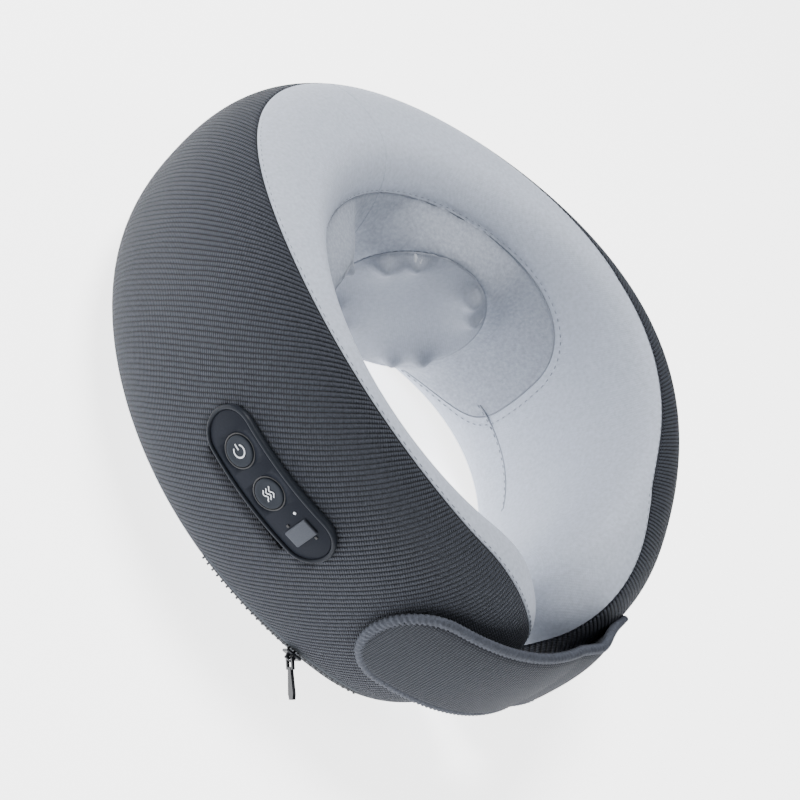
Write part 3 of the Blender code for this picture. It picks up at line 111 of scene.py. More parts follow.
def grid_faces(rows, columns, wrap=False, flip=False, start=0):
    faces = []
    for i in range(rows - 1):
        for j in range(columns if wrap else columns - 1):
            k = (j + 1) % columns
            quad = (i * columns + j, i * columns + k, (i + 1) * columns + k, (i + 1) * columns + j)
            quad = tuple(q + start for q in quad)
            faces.append(quad[::-1] if flip else quad)
    return faces


def grid_object(name, points, uv=None, wrap=False, flip=False):
    rows, columns = points.shape[:2]
    uv = None if uv is None else uv.reshape(-1, 2)
    return new_mesh(name, points.reshape(-1, 3), grid_faces(rows, columns, wrap, flip), uv)


def recalc(obj):
    bm = bmesh.new()
    bm.from_mesh(obj.data)
    bmesh.ops.remove_doubles(bm, verts=bm.verts, dist=1e-6)
    bmesh.ops.recalc_face_normals(bm, faces=bm.faces)
    bm.to_mesh(obj.data)
    bm.free()
    return obj


def thicken(obj, wall):
    modifier = obj.modifiers.new("wall", "SOLIDIFY")
    modifier.thickness = wall
    modifier.offset = -1.0
    return obj


def tube(name, path, radius, sides=8, closed=False, flat=1.0, ups=None, twisted=0.0):
    """A round or flattened tube along points, closed at its ends."""
    path = np.asarray(path, float)
    ahead = np.roll(path, -1, 0) - np.roll(path, 1, 0)
    if not closed:
        ahead[0] = path[1] - path[0]
        ahead[-1] = path[-1] - path[-2]
    ahead /= np.linalg.norm(ahead, axis=1)[:, None]
    up = np.array([0.0, 0.0, 1.0]) + 0 * path if ups is None else np.asarray(ups, float)
    across = np.cross(ahead, up)
    across /= np.linalg.norm(across, axis=1)[:, None]
    up = np.cross(across, ahead)
    turn = np.linspace(0, 2 * math.pi, sides + 1)[:-1]
    swell = 1 + twisted * np.sin(turn[None] * 2 + np.arange(len(path))[:, None] * math.pi / 2)[..., None]
    rings = (path[:, None] + across[:, None] * swell * (radius * np.cos(turn))[None, :, None]
             + up[:, None] * swell * (radius * flat * np.sin(turn))[None, :, None])
    if closed:
        rings = np.concatenate([rings, rings[:1]])
    faces = grid_faces(len(rings), sides, wrap=True)
    if not closed:
        faces.append(tuple(range(sides))[::-1])
        faces.append(tuple(range((len(rings) - 1) * sides, len(rings) * sides)))
    return recalc(new_mesh(name, rings.reshape(-1, 3), faces))


def resample(path, step, closed=False):
    path = np.asarray(path, float)
    if closed:
        path = np.concatenate([path, path[:1]])
    run = np.concatenate([[0], np.cumsum(np.linalg.norm(np.diff(path, axis=0), axis=1))])
    count = max(int(run[-1] / step), 2)
    at = np.linspace(0, run[-1], count + 1)[:-1] if closed else np.linspace(0, run[-1], count)
    return np.stack([np.interp(at, run, path[:, k]) for k in range(3)], 1)


def stitches(name, path, outs, length, radius, closed=False):
    """A row of short thread dashes along a seam; outs are outward directions at its points."""
    spots = resample(path, STITCH_PITCH, closed)
    tree = np.asarray(path, float)
    ahead = np.gradient(spots, axis=0)
    ahead /= np.linalg.norm(ahead, axis=1)[:, None]
    vertices, faces = [], []
    for spot, along in zip(spots, ahead):
        out = outs[np.argmin(((tree - spot) ** 2).sum(1))]
        side = np.cross(along, out)
        side /= np.linalg.norm(side)
        start = len(vertices)
        for share, wide in ((-0.5, 0.35), (-0.38, 0.9), (0, 1.05), (0.38, 0.9), (0.5, 0.35)):
            for turn in np.linspace(0, 2 * math.pi, 7)[:-1]:
                vertices.append(spot + along * length * share + out * radius * wide * math.sin(turn) * 0.8
                                + side * radius * wide * math.cos(turn))
        faces += grid_faces(5, 6, wrap=True, start=start)
        faces.append(tuple(start + k for k in range(6))[::-1])
        faces.append(tuple(start + 24 + k for k in range(6)))
    return recalc(new_mesh(name, vertices, faces))


# ---------------------------------------------------------------- the body's law
def smooth_step(value):
    value = np.clip(value, 0, 1)
    return value * value * (3 - 2 * value)


def ring_radius(t):
    return (RING_RADIUS + RING_NAPE_SHIFT * np.cos(t) + RING_OVAL * np.cos(2 * t)
            + RING_SQUARE * np.cos(4 * t))


def out_thickness(t):
    return OUT_MEAN + OUT_NAPE * np.cos(t) + OUT_ENDS * np.cos(2 * t)


def superpower(value):
    return np.sign(value) * np.abs(value) ** (2.0 / SECTION_POWER)


def end_taper(t):
    w = np.clip((np.abs(t) - (END_ANGLE - END_ROUND)) / END_ROUND, 0, 1)
    return (1 - w ** END_POWER) ** (1 / END_POWER)


def seam_taper(t):
    w = np.clip((np.abs(t) - (DARK_END_ANGLE - DARK_END_ROUND)) / DARK_END_ROUND, 0, 1)
    return np.sqrt(1 - w * w)


def top_seam(t):
    window = smooth_step((t + 15 * DEG) / (45 * DEG)) * smooth_step((165 * DEG - t) / (45 * DEG))
    rise = SEAM_LEFT_RISE * window
    return (SEAM_TOP + SEAM_TOP_NAPE * np.cos(t) + SEAM_TOP_WAVE * np.cos(2 * t) + rise) * seam_taper(t)


def bottom_seam(t):
    return -SEAM_BOTTOM * seam_taper(t)


def ring_skin(t, s, inset=0.0):
    """Points of the body's surface about the ring's own centre."""
    t, s, inset = np.broadcast_arrays(np.asarray(t, float), np.asarray(s, float), np.asarray(inset, float))
    taper = end_taper(t)
    pull = inset / RING_RADIUS / (END_ANGLE - HINGE_ANGLE)
    angle = t - np.sign(t) * np.clip(np.abs(t) - HINGE_ANGLE, 0, None) * pull
    across, along = superpower(np.cos(s)), superpower(np.sin(s))
    thick = out_thickness(t)
    across = np.where(across > 0, thick - inset, thick * NECK_SHARE - inset) * across * taper
    wave = HALF_HEIGHT + HALF_HEIGHT_WAVE * np.cos(2 * t)
    height = np.where(along > 0, wave + HALF_HEIGHT_NAPE * np.cos(t), wave) - inset
    along = height * along * taper
    lean = LEAN_MEAN + LEAN_NAPE * np.cos(t)
    radius = ring_radius(t) + across * np.cos(lean) + along * np.sin(lean)
    z = along * np.cos(lean) - across * np.sin(lean) - SIDE_RISE * np.cos(2 * t)
    above = z - (inset - FLOOR_DROP)
    z = inset - FLOOR_DROP + 0.5 * (above + np.sqrt(above ** 2 + FLOOR_ROUND ** 2))
    return np.stack([radius * np.sin(angle), radius * np.cos(angle), z], -1)


def hinge_place(side):
    angle = side * HINGE_ANGLE
    points = ring_skin(angle, np.linspace(-90 * DEG, 90 * DEG, 181))
    radius = np.hypot(points[:, 0], points[:, 1]).max() + HINGE_GAP
    return Vector((radius * math.sin(angle), radius * math.cos(angle), 0))


CENTRE = Vector(JOINTS["collar_open"]["pos_m"]) - hinge_place(1)
SHIFT = np.array(CENTRE)


def skin(t, s, inset=0.0):
    return ring_skin(t, s, inset) + SHIFT


def skin_normal(t, s):
    step = 0.01
    a = ring_skin(t + step, s) - ring_skin(t - step, s)
    b = ring_skin(t, s + step) - ring_skin(t, s - step)
    n = np.cross(b, a)
    return n / np.linalg.norm(n, axis=-1)[..., None].clip(1e-12)


def head_axes(side):
    angle = HEAD_ANGLE * side
    away = np.array([math.sin(angle), math.cos(angle), 0.0])
    arm = np.array([math.cos(angle), -math.sin(angle), 0.0]) * side
    return away, arm


# ---------------------------------------------------------------- fabric draped over a head
def tip_places():
    """Centres and radii of a head's kneading tips, in its own plane."""
    for arm in range(4):
        base = TIP_TURN + arm * math.pi / 2
        for angle, radius in ((base + TIP_SPREAD, BIG_TIP), (base - TIP_SPREAD, SMALL_TIP)):
            yield TIP_CIRCLE * math.cos(angle), TIP_CIRCLE * math.sin(angle), radius


def draped_height():
    """Height of a stretched cloth over the tips: relaxed on a square net, never below them."""
    count = 141
    line = np.linspace(-DISC_RADIUS, DISC_RADIUS, count)
    x, y = np.meshgrid(line, line, indexing="ij")
    rho = np.hypot(x, y)
    top = DISC_PLANE - DISC_TOP
    under = np.zeros_like(x)
    for tip_x, tip_y, radius in tip_places():
        far = np.hypot(x - tip_x, y - tip_y)
        knob = top * (radius / BIG_TIP) ** 0.25 - 0.9 * far ** 2 / radius
        under = np.maximum(under, np.where(far < 1.2 * radius, knob, 0))
    fixed = rho > DISC_RADIUS - 0.6 * MM
    height = under.copy()
    for _ in range(500):
        mean = 0.25 * (np.roll(height, 1, 0) + np.roll(height, -1, 0)
                       + np.roll(height, 1, 1) + np.roll(height, -1, 1))
        height = np.where(fixed, 0, np.maximum(mean, under))
    for _ in range(8):
        height = np.where(fixed, 0, 0.5 * height + 0.125 * (
            np.roll(height, 1, 0) + np.roll(height, -1, 0) + np.roll(height, 1, 1) + np.roll(height, -1, 1)))
    return line, height


def sample(line, height, x, y):
    step = line[1] - line[0]
    i = np.clip((x - line[0]) / step, 0, len(line) - 1.001)
    j = np.clip((y - line[0]) / step, 0, len(line) - 1.001)
    a, b = np.floor(i).astype(int), np.floor(j).astype(int)
    u, v = i - a, j - b
    return (height[a, b] * (1 - u) * (1 - v) + height[a + 1, b] * u * (1 - v)
            + height[a, b + 1] * (1 - u) * v + height[a + 1, b + 1] * u * v)


def drape(points, t, s):
    """Pull the neck-side fabric over both heads; sink it a little under each turning disc."""
    moved = points - SHIFT
    room = SEAM_ROOM * np.clip(1 - in_panel(t, s), 0, None)
    for side in (-1, 1):
        away, arm = head_axes(side)
        depth = moved @ away
        rho = np.hypot(moved @ arm, moved[..., 2] + HEAD_DROP)
        beyond = np.clip(rho - DISC_RADIUS, 0, None)
        span = np.minimum(beyond + room, DRAPE_WIDTH).clip(0.01 * MM)
        new = DISC_PLANE + (depth - DISC_PLANE) * np.where(rho > DISC_RADIUS, smooth_step(beyond / span), 0)
        sink = 1.6 * MM * np.clip((DISC_RADIUS - 0.4 * MM - rho) / (1.5 * MM), 0, 1)
        new = np.where(depth > 40 * MM, new + 0.15 * MM + sink, depth)
        moved = moved + (new - depth)[..., None] * away
    return moved + SHIFT


def head_disc(side, line, height):
    """The round of panel fabric that a turning head lifts."""
    away, arm = head_axes(side)
    rings, segments = 40, 144
    rho = (DISC_RADIUS + 0.25 * MM) * np.linspace(0, 1, rings)[:, None]
    phi = np.linspace(0, 2 * math.pi, segments + 1)[None, :-1]
    x, y = rho * np.cos(phi), rho * np.sin(phi)
    lift = sample(line, height, x, y)
    depth = DISC_PLANE - lift
    points = (away * depth[..., None] + arm * x[..., None]
              + np.array([0, 0, 1.0]) * (y - HEAD_DROP)[..., None] + SHIFT)
    obj = grid_object(f"{side_name(side)}_head_disc", points, np.stack([x, y], -1), wrap=True)
    return thicken(face_from(recalc(obj), away), 0.9 * MM)


def face_from(obj, away):
    """Turn an open sheet so that its faces look against a direction."""
    mean = sum((Vector(p.normal) * p.area for p in obj.data.polygons), Vector())
    if mean.dot(Vector(away)) > 0:
        obj.data.flip_normals()
    return obj


def side_name(side):
    return "left" if side > 0 else "right"


# ---------------------------------------------------------------- knit skins
def arcs(points):
    """Distance along each row of a grid from its first column."""
    step = np.linalg.norm(np.diff(points, axis=1), axis=-1)
    return np.concatenate([np.zeros((len(points), 1)), np.cumsum(step, axis=1)], axis=1)


def edge_inset(arc):
    """How far a skin rolls in at both of its seams."""
    run = arc[:, -1:]
    near = np.minimum(arc, run - arc)
    roll = np.minimum(SEAM_ROLL, 0.3 * run)
    inside = np.clip(roll - near, 0, None)
    return roll - np.sqrt(np.clip(roll ** 2 - inside ** 2, 0, None))


def clustered(count):
    """0 to 1 with closer steps at both ends."""
    u = np.linspace(0, 1, count)
    return u - 0.9 * np.sin(2 * math.pi * u) / (2 * math.pi)


def fold(obj):
    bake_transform(obj)


def dark_skin(side):
    u = np.linspace(0, 1, 190)[:, None]
    t = side * (DARK_END_ANGLE * 0.9995 * (1 - (1 - u) ** 1.1) - NAPE_LAP * (1 - u))
    s = bottom_seam(t) + (top_seam(t) - bottom_seam(t)) * clustered(70)[None]
    arc = arcs(ring_skin(t, s))
    points = skin(t, s, edge_inset(arc) + (LAP_STEP if side < 0 else 0))
    middle = np.array([np.interp(0, row_s, row) for row_s, row in zip(s, arc)])[:, None]
    along = side * t * 112 * MM
    up = arc - middle
    ribs = np.stack([along - RIB_BIAS * up, up + RIB_BIAS * along], -1)
    obj = grid_object(f"{side_name(side)}_outer_skin", points, ribs, flip=side < 0)
    face_out(obj)
    thicken(obj, COVER_WALL)
    if side < 0:
        open_pod(obj)
    return obj


def face_out(obj):
    """Turn a sheet so that its faces look away from the body's core line."""
    mesh = obj.data
    total = 0.0
    for polygon in mesh.polygons:
        c = np.array(polygon.center) - SHIFT
        t = math.atan2(c[0], c[1])
        r = float(ring_radius(t))
        core = np.array([r * math.sin(t), r * math.cos(t), -SIDE_RISE * math.cos(2 * t)])
        total += float(np.dot(np.array(polygon.normal), c - core)) * polygon.area
    if total < 0:
        mesh.flip_normals()
    return obj


def open_pod(obj):
    """Take away the knit faces behind the key pod."""
    inverse = pod_frame(0).inverted()
    bm = bmesh.new()
    bm.from_mesh(obj.data)
    gone = []
    for face in bm.faces:
        p = inverse @ face.calc_center_median()
        x = p.x
        beyond = max(abs(x) - (POD_LENGTH - POD_WIDTH) / 2, 0)
        if p.z > -30 * MM and math.hypot(beyond, p.y) < POD_WIDTH / 2 - 0.5 * MM:
            gone.append(face)
    bmesh.ops.delete(bm, geom=gone, context="FACES")
    bm.to_mesh(obj.data)
    bm.free()


def in_panel(t, s):
    along = np.abs(t / PANEL_HALF_ANGLE) ** PANEL_POWER
    across = np.abs((s - PANEL_CENTRE) / PANEL_HALF_WIDTH) ** PANEL_POWER
    return (along + across) ** (1 / PANEL_POWER)


def light_skin(side):
    """Neck-side fabric of one half; a vertex value tells the oval panel from the rest, where the shader paints the
    fabric darker as shade.
    """
    u = np.linspace(0, 1, 250)[:, None]
    t = side * (END_ANGLE * 0.9996 * (1 - (1 - u) ** 1.1) - NAPE_LAP * (1 - u))
    s = top_seam(t) + (2 * math.pi + bottom_seam(t) - top_seam(t)) * clustered(150)[None]
    arc = arcs(ring_skin(t, s))
    inset = edge_inset(arc)
    share = in_panel(t, s)
    groove = 0.5 * MM * np.exp(-((share - 1) * SEAM_ROOM / (1.6 * MM)) ** 2)
    inset = inset + (LAP_STEP if side < 0 else 0) + groove
    points = drape(skin(t, s, inset), t, s)
    uv = np.stack([t * 90 * MM + 0 * s, arc], -1)
    obj = grid_object(f"{side_name(side)}_inner_skin", points, uv, flip=side < 0)
    layer = obj.data.attributes.new("panel", "FLOAT", "POINT")
    layer.data.foreach_set("value", (1 - share).reshape(-1).astype(np.float32))
    face_out(obj)
    open_heads(obj)
    return thicken(obj, COVER_WALL * 0.6)


def open_heads(obj):
    """Take away the fabric that lies under each turning disc."""
    bm = bmesh.new()
    bm.from_mesh(obj.data)
    gone = []
    for face in bm.faces:
        c = np.array(face.calc_center_median()) - SHIFT
        for side in (-1, 1):
            away, arm = head_axes(side)
            rho = math.hypot(c @ arm, c[2] + HEAD_DROP)
            if 40 * MM < c @ away < 70 * MM and rho < DISC_RADIUS - 1.8 * MM:
                gone.append(face)
                break
    bmesh.ops.delete(bm, geom=gone, context="FACES")
    bm.to_mesh(obj.data)
    bm.free()


# ---------------------------------------------------------------- seams
def seam_points(side, top, inset):
    u = np.linspace(0, 1, 240)
    t = side * DARK_END_ANGLE * (1 - (1 - u) ** 1.15) * 0.9999
    s = top_seam(t) if top else bottom_seam(t)
    return skin(t, s, inset), skin_normal(t, s)


def seam_cords(side):
    made = []
    for top in (True, False):
        points, normals = seam_points(side, top, 1.0 * MM)
        name = f"{side_name(side)}_{'top' if top else 'bottom'}_seam"
        obj = tube(name, points, 0.7 * MM, sides=6, ups=normals)
        made.append(obj)
    return made


def seam_stitches(side):
    """Thread along the light fabric, just inside the top seam."""
    u = np.linspace(0, 1, 300)
    t = side * DARK_END_ANGLE * 0.985 * u
    s = top_seam(t) + 2.0 * MM / 52 / MM
    points = skin(t, s, 0.05 * MM)
    return stitches(f"{side_name(side)}_seam_thread", points, skin_normal(t, s), 1.7 * MM, 0.22 * MM)


def panel_path(side, grow, inset):
    phi = np.linspace(-90, 90, 240) * DEG
    t = side * PANEL_HALF_ANGLE * grow * np.cos(phi).clip(0, 1) ** (2 / PANEL_POWER)
    s = PANEL_CENTRE + PANEL_HALF_WIDTH * grow * np.sign(phi) * np.abs(np.sin(phi)) ** (2 / PANEL_POWER)
    return drape(skin(t, s, inset), t, s), skin_normal(t, s)


def panel_seam(side):
    points, normals = panel_path(side, 1.0, 0.5 * MM)
    cord = tube(f"{side_name(side)}_panel_seam", points, 0.32 * MM, sides=6, ups=normals)
    points, normals = panel_path(side, 1.03, -0.02 * MM)
    return cord, stitches(f"{side_name(side)}_panel_thread", points, normals, 1.5 * MM, 0.16 * MM)


def arm_seam():
    """A short stitched seam on the left arm's neck side, running on from the oval panel."""
    t = np.linspace(80, 118, 90) * DEG
    s = (206 + 0 * t / DEG) * DEG
    normals = skin_normal(t, s)
    cord = tube("left_arm_seam", skin(t, s, 0.15 * MM), 0.34 * MM, sides=6, ups=normals)
    return cord, stitches("left_arm_seam_thread", skin(t, s + 0.018, 0), normals, 1.5 * MM, 0.2 * MM)


# ---------------------------------------------------------------- key pod
def pod_frame(along):
    step = 0.5 * DEG
    centre = Vector(skin(POD_ANGLE, 0.0))
    ahead = Vector(skin(POD_ANGLE - step, 0.0)) - Vector(skin(POD_ANGLE + step, 0.0))
    up = (Vector(skin(POD_ANGLE, step)) - Vector(skin(POD_ANGLE, -step))).normalized()
    ahead = (ahead - up * ahead.dot(up)).normalized()
    out = ahead.cross(up).normalized()
    if out.dot(centre - CENTRE) < 0:
        out = -out
    up = out.cross(ahead).normalized()
    if up.z < 0:
        up, out = -up, out
    bend = along / POD_BEND
    origin = centre + up * POD_RISE - out * POD_BEND
    turned_out = out * math.cos(bend) + ahead * math.sin(bend)
    turned_ahead = ahead * math.cos(bend) - out * math.sin(bend)
    matrix = Matrix.Identity(4)
    spot = origin + turned_out * POD_BEND
    for row in range(3):
        matrix[row][0], matrix[row][1] = turned_ahead[row], up[row]
        matrix[row][2], matrix[row][3] = turned_out[row], spot[row]
    return matrix


def pill_outline(length, width, count=40):
    """Points round a pill, starting at its far end."""
    half, straight = width / 2, (length - width) / 2
    turns = np.linspace(-90, 90, count) * DEG
    right = [(straight + half * math.cos(a), half * math.sin(a)) for a in turns]
    top = [(x, half) for x in np.linspace(straight, -straight, 26)[1:-1]]
    left = [(-straight - half * math.cos(a), -half * math.sin(a)) for a in turns]
    low = [(x, -half) for x in np.linspace(-straight, straight, 26)[1:-1]]
    return right + top + left + low


def pill_ring(name, profile):
    """A ring lofted through pill outlines: profile is (shrink from the pod's size, height) pairs."""
    rows = []
    for shrink, height in profile:
        outline = pill_outline(POD_LENGTH - 2 * shrink, POD_WIDTH - 2 * shrink)
        rows.append([pod_frame(x) @ Vector((0, y, height)) for x, y in outline])
    points = np.array([[tuple(p) for p in row] for row in rows])
    points = np.concatenate([points, points[:1]])
    return recalc(grid_object(name, points, wrap=True))


def pill_plate(name, shrink, low, high, roll=0.3 * MM):
    rows = []
    for more, height in ((0, low), (0, high - roll), (0.3 * roll, high - 0.3 * roll), (roll, high)):
        outline = pill_outline(POD_LENGTH - 2 * (shrink + more), POD_WIDTH - 2 * (shrink + more))
        rows.append([pod_frame(x) @ Vector((0, y, height)) for x, y in outline])
    count = len(rows[0])
    vertices = [p for row in rows for p in row]
    faces = grid_faces(len(rows), count, wrap=True)
    start = (len(rows) - 1) * count
    for base in (0, start):
        quarter = 40
        right = [base + k for k in range(quarter)]
        top = [base + quarter + k for k in range(24)]
        left = [base + quarter + 24 + k for k in range(quarter)]
        low_run = [base + 2 * quarter + 24 + k for k in range(24)]
        faces.append(tuple(right))
        faces.append(tuple(left))
        upper = [right[-1]] + top + [left[0]]
        lower = [right[0]] + low_run[::-1] + [left[-1]]
        for i in range(len(upper) - 1):
            faces.append((upper[i], upper[i + 1], lower[i + 1], lower[i]))
    return recalc(new_mesh(name, vertices, faces))


def bore(obj, matrix, radius, low, high):
    """Sink one round well into a solid."""
    cutter = lathe("cutter", ((radius, low), (radius, high)), matrix)
    modifier = obj.modifiers.new("bore", "BOOLEAN")
    modifier.operation, modifier.solver, modifier.object = "DIFFERENCE", "EXACT", cutter
    bpy.context.view_layer.update()
    done = bpy.data.meshes.new_from_object(obj.evaluated_get(bpy.context.evaluated_depsgraph_get()))
    obj.modifiers.remove(modifier)
    obj.data = done
    bpy.data.objects.remove(cutter, do_unlink=True)


def lathe(name, profile, matrix, segments=64, ring=False):
    """A turned solid about local Z from (radius, height) pairs; closed at its ends, or a ring."""
    if ring:
        profile = tuple(profile) + profile[:1]
    turn = np.linspace(0, 2 * math.pi, segments + 1)[:-1]
    points = np.array([[tuple(matrix @ Vector((r * math.cos(a), r * math.sin(a), z))) for a in turn]
                       for r, z in profile])
    faces = grid_faces(len(profile), segments, wrap=True)
    if not ring:
        faces.append(tuple(range(segments))[::-1])
        faces.append(tuple(range((len(profile) - 1) * segments, len(profile) * segments)))
    return recalc(new_mesh(name, points.reshape(-1, 3), faces))


def icon_tube(name, path, matrix, radius, level):
    return tube(name, [tuple(matrix @ Vector((x, y, level))) for x, y in path], radius, sides=6,
                ups=[tuple(matrix.to_3x3() @ Vector((0, 0, 1)))] * len(path), flat=0.4)


def power_icon(matrix, level):
    """A broken ring and a bar, the general sign for on and off, upright towards the nape end."""
    radius = 2.3 * MM
    turns = np.linspace(40, 320, 40) * DEG
    ring = [(-radius * math.cos(a), radius * math.sin(a)) for a in turns]
    bar = [(-x, 0.0) for x in np.linspace(0.5 * MM, 2.9 * MM, 5)]
    return [icon_tube("power_icon_ring", ring, matrix, 0.3 * MM, level),
            icon_tube("power_icon_bar", bar, matrix, 0.3 * MM, level)]


def heat_icon(matrix, level):
    made = []
    for k in (-1, 0, 1):
        run = np.linspace(-2.2, 2.2, 24)
        path = [(v * MM, (1.5 * k + 0.5 * math.sin(v * 2.2)) * MM) for v in run]
        made.append(icon_tube(f"heat_icon_wave_{k + 2}", path, matrix, 0.26 * MM, level))
    return made


def rounded_box(name, size, matrix, roll, steps=4):
    bm = bmesh.new()
    bmesh.ops.create_cube(bm, size=1.0)
    bmesh.ops.scale(bm, verts=bm.verts, vec=size)
    bmesh.ops.bevel(bm, geom=bm.edges, offset=roll, segments=steps, affect="EDGES", profile=0.5)
    bmesh.ops.transform(bm, matrix=matrix, verts=bm.verts)
    mesh = bpy.data.meshes.new(name)
    bm.to_mesh(mesh)
    bm.free()
    mesh.polygons.foreach_set("use_smooth", [True] * len(mesh.polygons))
    obj = bpy.data.objects.new(name, mesh)
    bpy.context.scene.collection.objects.link(obj)
    return obj


def key_pod():
    bezel = pill_ring("pod_bezel", ((-0.9 * MM, -2.5 * MM), (-0.9 * MM, 0.9 * MM), (-0.5 * MM, 1.5 * MM),
                                    (0.0 * MM, 1.75 * MM), (0.5 * MM, 1.6 * MM), (0.8 * MM, 1.0 * MM),
                                    (0.8 * MM, -2.5 * MM)))
    face = pill_plate("pod_face", 0.85 * MM, -3 * MM, POD_PROUD)
    for place in (POWER_PLACE, HEAT_PLACE):
        bore(face, pod_frame(place), BUTTON_RADIUS + 0.2 * MM, POD_PROUD - 2.4 * MM, POD_PROUD + 2 * MM)
    for obj, node, finish in ((bezel, "control_bezel", BEZEL), (face, "control_face", POD_FACE)):
        give(obj, finish)
        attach(obj, "right_arm")
        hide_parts(node)
    top = POD_PROUD + 0.45 * MM
    keys = (("power", POWER_PLACE, power_icon, "power_key"), ("heat", HEAT_PLACE, heat_icon, "heat_key"))
    for name, place, icon, body in keys:
        matrix = pod_frame(place)
        r = BUTTON_RADIUS
        low, high = POD_PROUD - 0.4 * MM, POD_PROUD + 0.04 * MM
        outline = ((r + 0.5 * MM, low), (r + 0.5 * MM, high), (r, high), (r, low))
        # Painted shade: a near-black ring laid in the gap round each key stands for the gap's shade.
        groove = lathe(f"{name}_key_gap_shade", outline, matrix, ring=True)
        give(groove, GROOVE_SHADE)
        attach(groove, "right_arm")
        key = lathe(f"{name}_key_top", ((r - 0.25 * MM, POD_PROUD - 1.3 * MM),
                                        (r - 0.25 * MM, top - 0.45 * MM),
                                        (r - 0.4 * MM, top - 0.15 * MM), (r - 0.8 * MM, top),
                                        (r - 1.6 * MM, top - 0.05 * MM), (r * 0.4, top - 0.25 * MM),
                                        (r * 0.05, top - 0.3 * MM)), matrix)
        give(key, KEY)
        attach(key, body)
        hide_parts(f"{name}_button")
        for line in icon(matrix, top - 0.12 * MM):
            give(line, ICON)
            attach(line, body)
    led = lathe("led_lens", ((0.55 * MM, 0), (0.55 * MM, POD_PROUD + 0.1 * MM),
                             (0.3 * MM, POD_PROUD + 0.2 * MM)),
                pod_frame(LED_PLACE) @ Matrix.Translation((0.5 * MM, 3.4 * MM, 0)), 24)
    give(led, LENS)
    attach(led, "right_arm")
    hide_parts("status_led")
    matrix = pod_frame(PORT_PLACE)
    size = (PORT_COVER_SIZE[1] * 0.62, PORT_COVER_SIZE[1], 1.5 * MM)
    raised = matrix @ Matrix.Translation((0, 0, POD_PROUD + 0.35 * MM))
    flap = rounded_box("port_flap", size, raised, 0.7 * MM, 5)
    give(flap, FLAP)
    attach(flap, "port_flap")
    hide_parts("usb_cover")
    # The port notches take the same near-black colour, painted shade of a recess.
    for k, (x, y) in enumerate(((-4.6, -2.6), (4.4, 3.2))):
        dot = rounded_box(f"port_notch_{k + 1}", (1.1 * MM, 1.1 * MM, 0.5 * MM),
                          matrix @ Matrix.Translation((x * MM, y * MM, POD_PROUD)), 0.12 * MM, 2)
        give(dot, GROOVE_SHADE)
        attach(dot, "right_arm")


# ---------------------------------------------------------------- strap
def strap_points(t, level, lift):
    """Points over the arm ends at angles t and heights above the ring's plane."""
    near = np.clip(1 - np.abs(t - math.pi) / (28 * DEG), 0, 1)
    ring_t = np.where(t > math.pi, t - 2 * math.pi, t)
    middle = -SIDE_RISE * np.cos(2 * ring_t)
    hug = 1 - smooth_step((t - STRAP_ROOT) / (18 * DEG))
    taper = 1 - hug * (1 - end_taper(ring_t))
    height = (HALF_HEIGHT + HALF_HEIGHT_WAVE * np.cos(2 * ring_t)) * taper
    reach = (1 - (np.abs(level - middle) / height) ** SECTION_POWER) ** (1 / SECTION_POWER)
    lean = LEAN_MEAN + LEAN_NAPE * np.cos(ring_t)
    radius = (ring_radius(ring_t) + out_thickness(ring_t) * taper * (1 - STRAP_BRIDGE * near ** 2) * reach
              + (level - middle) * np.sin(lean) + lift
              + STRAP_LIFT * smooth_step((t - STRAP_ROOT) / (16 * DEG)))
    return np.stack([radius * np.sin(t), radius * np.cos(t), level], -1) + SHIFT


def strap_half(t):
    end_round = STRAP_HALF_WIDTH / STRAP_RADIUS
    past = np.clip((t - (STRAP_TIP - end_round)) / end_round, 0, 0.9999)
    return STRAP_HALF_WIDTH * np.sqrt(1 - past ** 2) * root_width(t)


def root_width(t):
    """The strap is a little narrower where it is sewn to the arm."""
    return 1 - 0.3 * (1 - smooth_step((t - STRAP_ROOT) / (22 * DEG)))


def strap_bulge(v, t):
    """The padded middle stands above the flat overlocked rim."""
    past = np.clip((STRAP_TIP - t) / (0.2), 0, 1)
    rim = np.clip((1 - np.abs(v)) / 0.2, 0, 1) * np.clip(past / 0.25, 0, 1)
    return 1.1 * MM * (3 * rim ** 2 - 2 * rim ** 3)


def closing_strap():
    u = np.linspace(0, 1, 110)
    t = STRAP_ROOT + (STRAP_TIP - STRAP_ROOT) * np.sin(u * math.pi / 2)
    v = np.linspace(-1, 1, 41)
    half = strap_half(t)
    level = STRAP_RISE + half[:, None] * v[None]
    t_grid = t[:, None] + 0 * level
    lift = 0.9 * MM + strap_bulge(v[None] + 0 * level, t_grid)
    points = strap_points(t_grid, level, lift)
    run = (t_grid - STRAP_ROOT) * STRAP_RADIUS
    obj = grid_object("closing_strap", points, np.stack([run, level], -1))
    face_out(obj)
    thicken(obj, STRAP_WALL)
    give(obj, STRAP_KNIT)
    edge = strap_edge()
    thread = strap_thread()
    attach(obj, "closing_strap")
    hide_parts("strap")
    for piece in (edge, thread):
        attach(piece, "closing_strap")


def strap_rim(shrink, count=150):
    """Points along the strap's edge, from the root's top round the free end and back."""
    u = np.linspace(0, 1, count)
    t = STRAP_ROOT + (STRAP_TIP - shrink / STRAP_RADIUS - STRAP_ROOT) * np.sin(u * math.pi / 2)
    end_round = (STRAP_HALF_WIDTH - shrink) / STRAP_RADIUS
    past = np.clip((t - (STRAP_TIP - shrink / STRAP_RADIUS - end_round)) / end_round, 0, 1)
    half = (STRAP_HALF_WIDTH - shrink) * np.sqrt(1 - past ** 2) * root_width(t)
    t = np.concatenate([t, t[::-1][1:]])
    level = STRAP_RISE + np.concatenate([half, -half[::-1][1:]])
    return t, level


def strap_edge():
    t, level = strap_rim(1.6 * MM)
    path = resample(strap_points(t, level, 0.4 * MM), 0.5 * MM)
    edge = tube("strap_overlock", path, 2.2 * MM, sides=16, flat=0.75, twisted=0.14,
                ups=[tuple(p - (SHIFT + [0, 0, p[2] - SHIFT[2]])) for p in path])
    give(edge, OVERLOCK)
    return edge


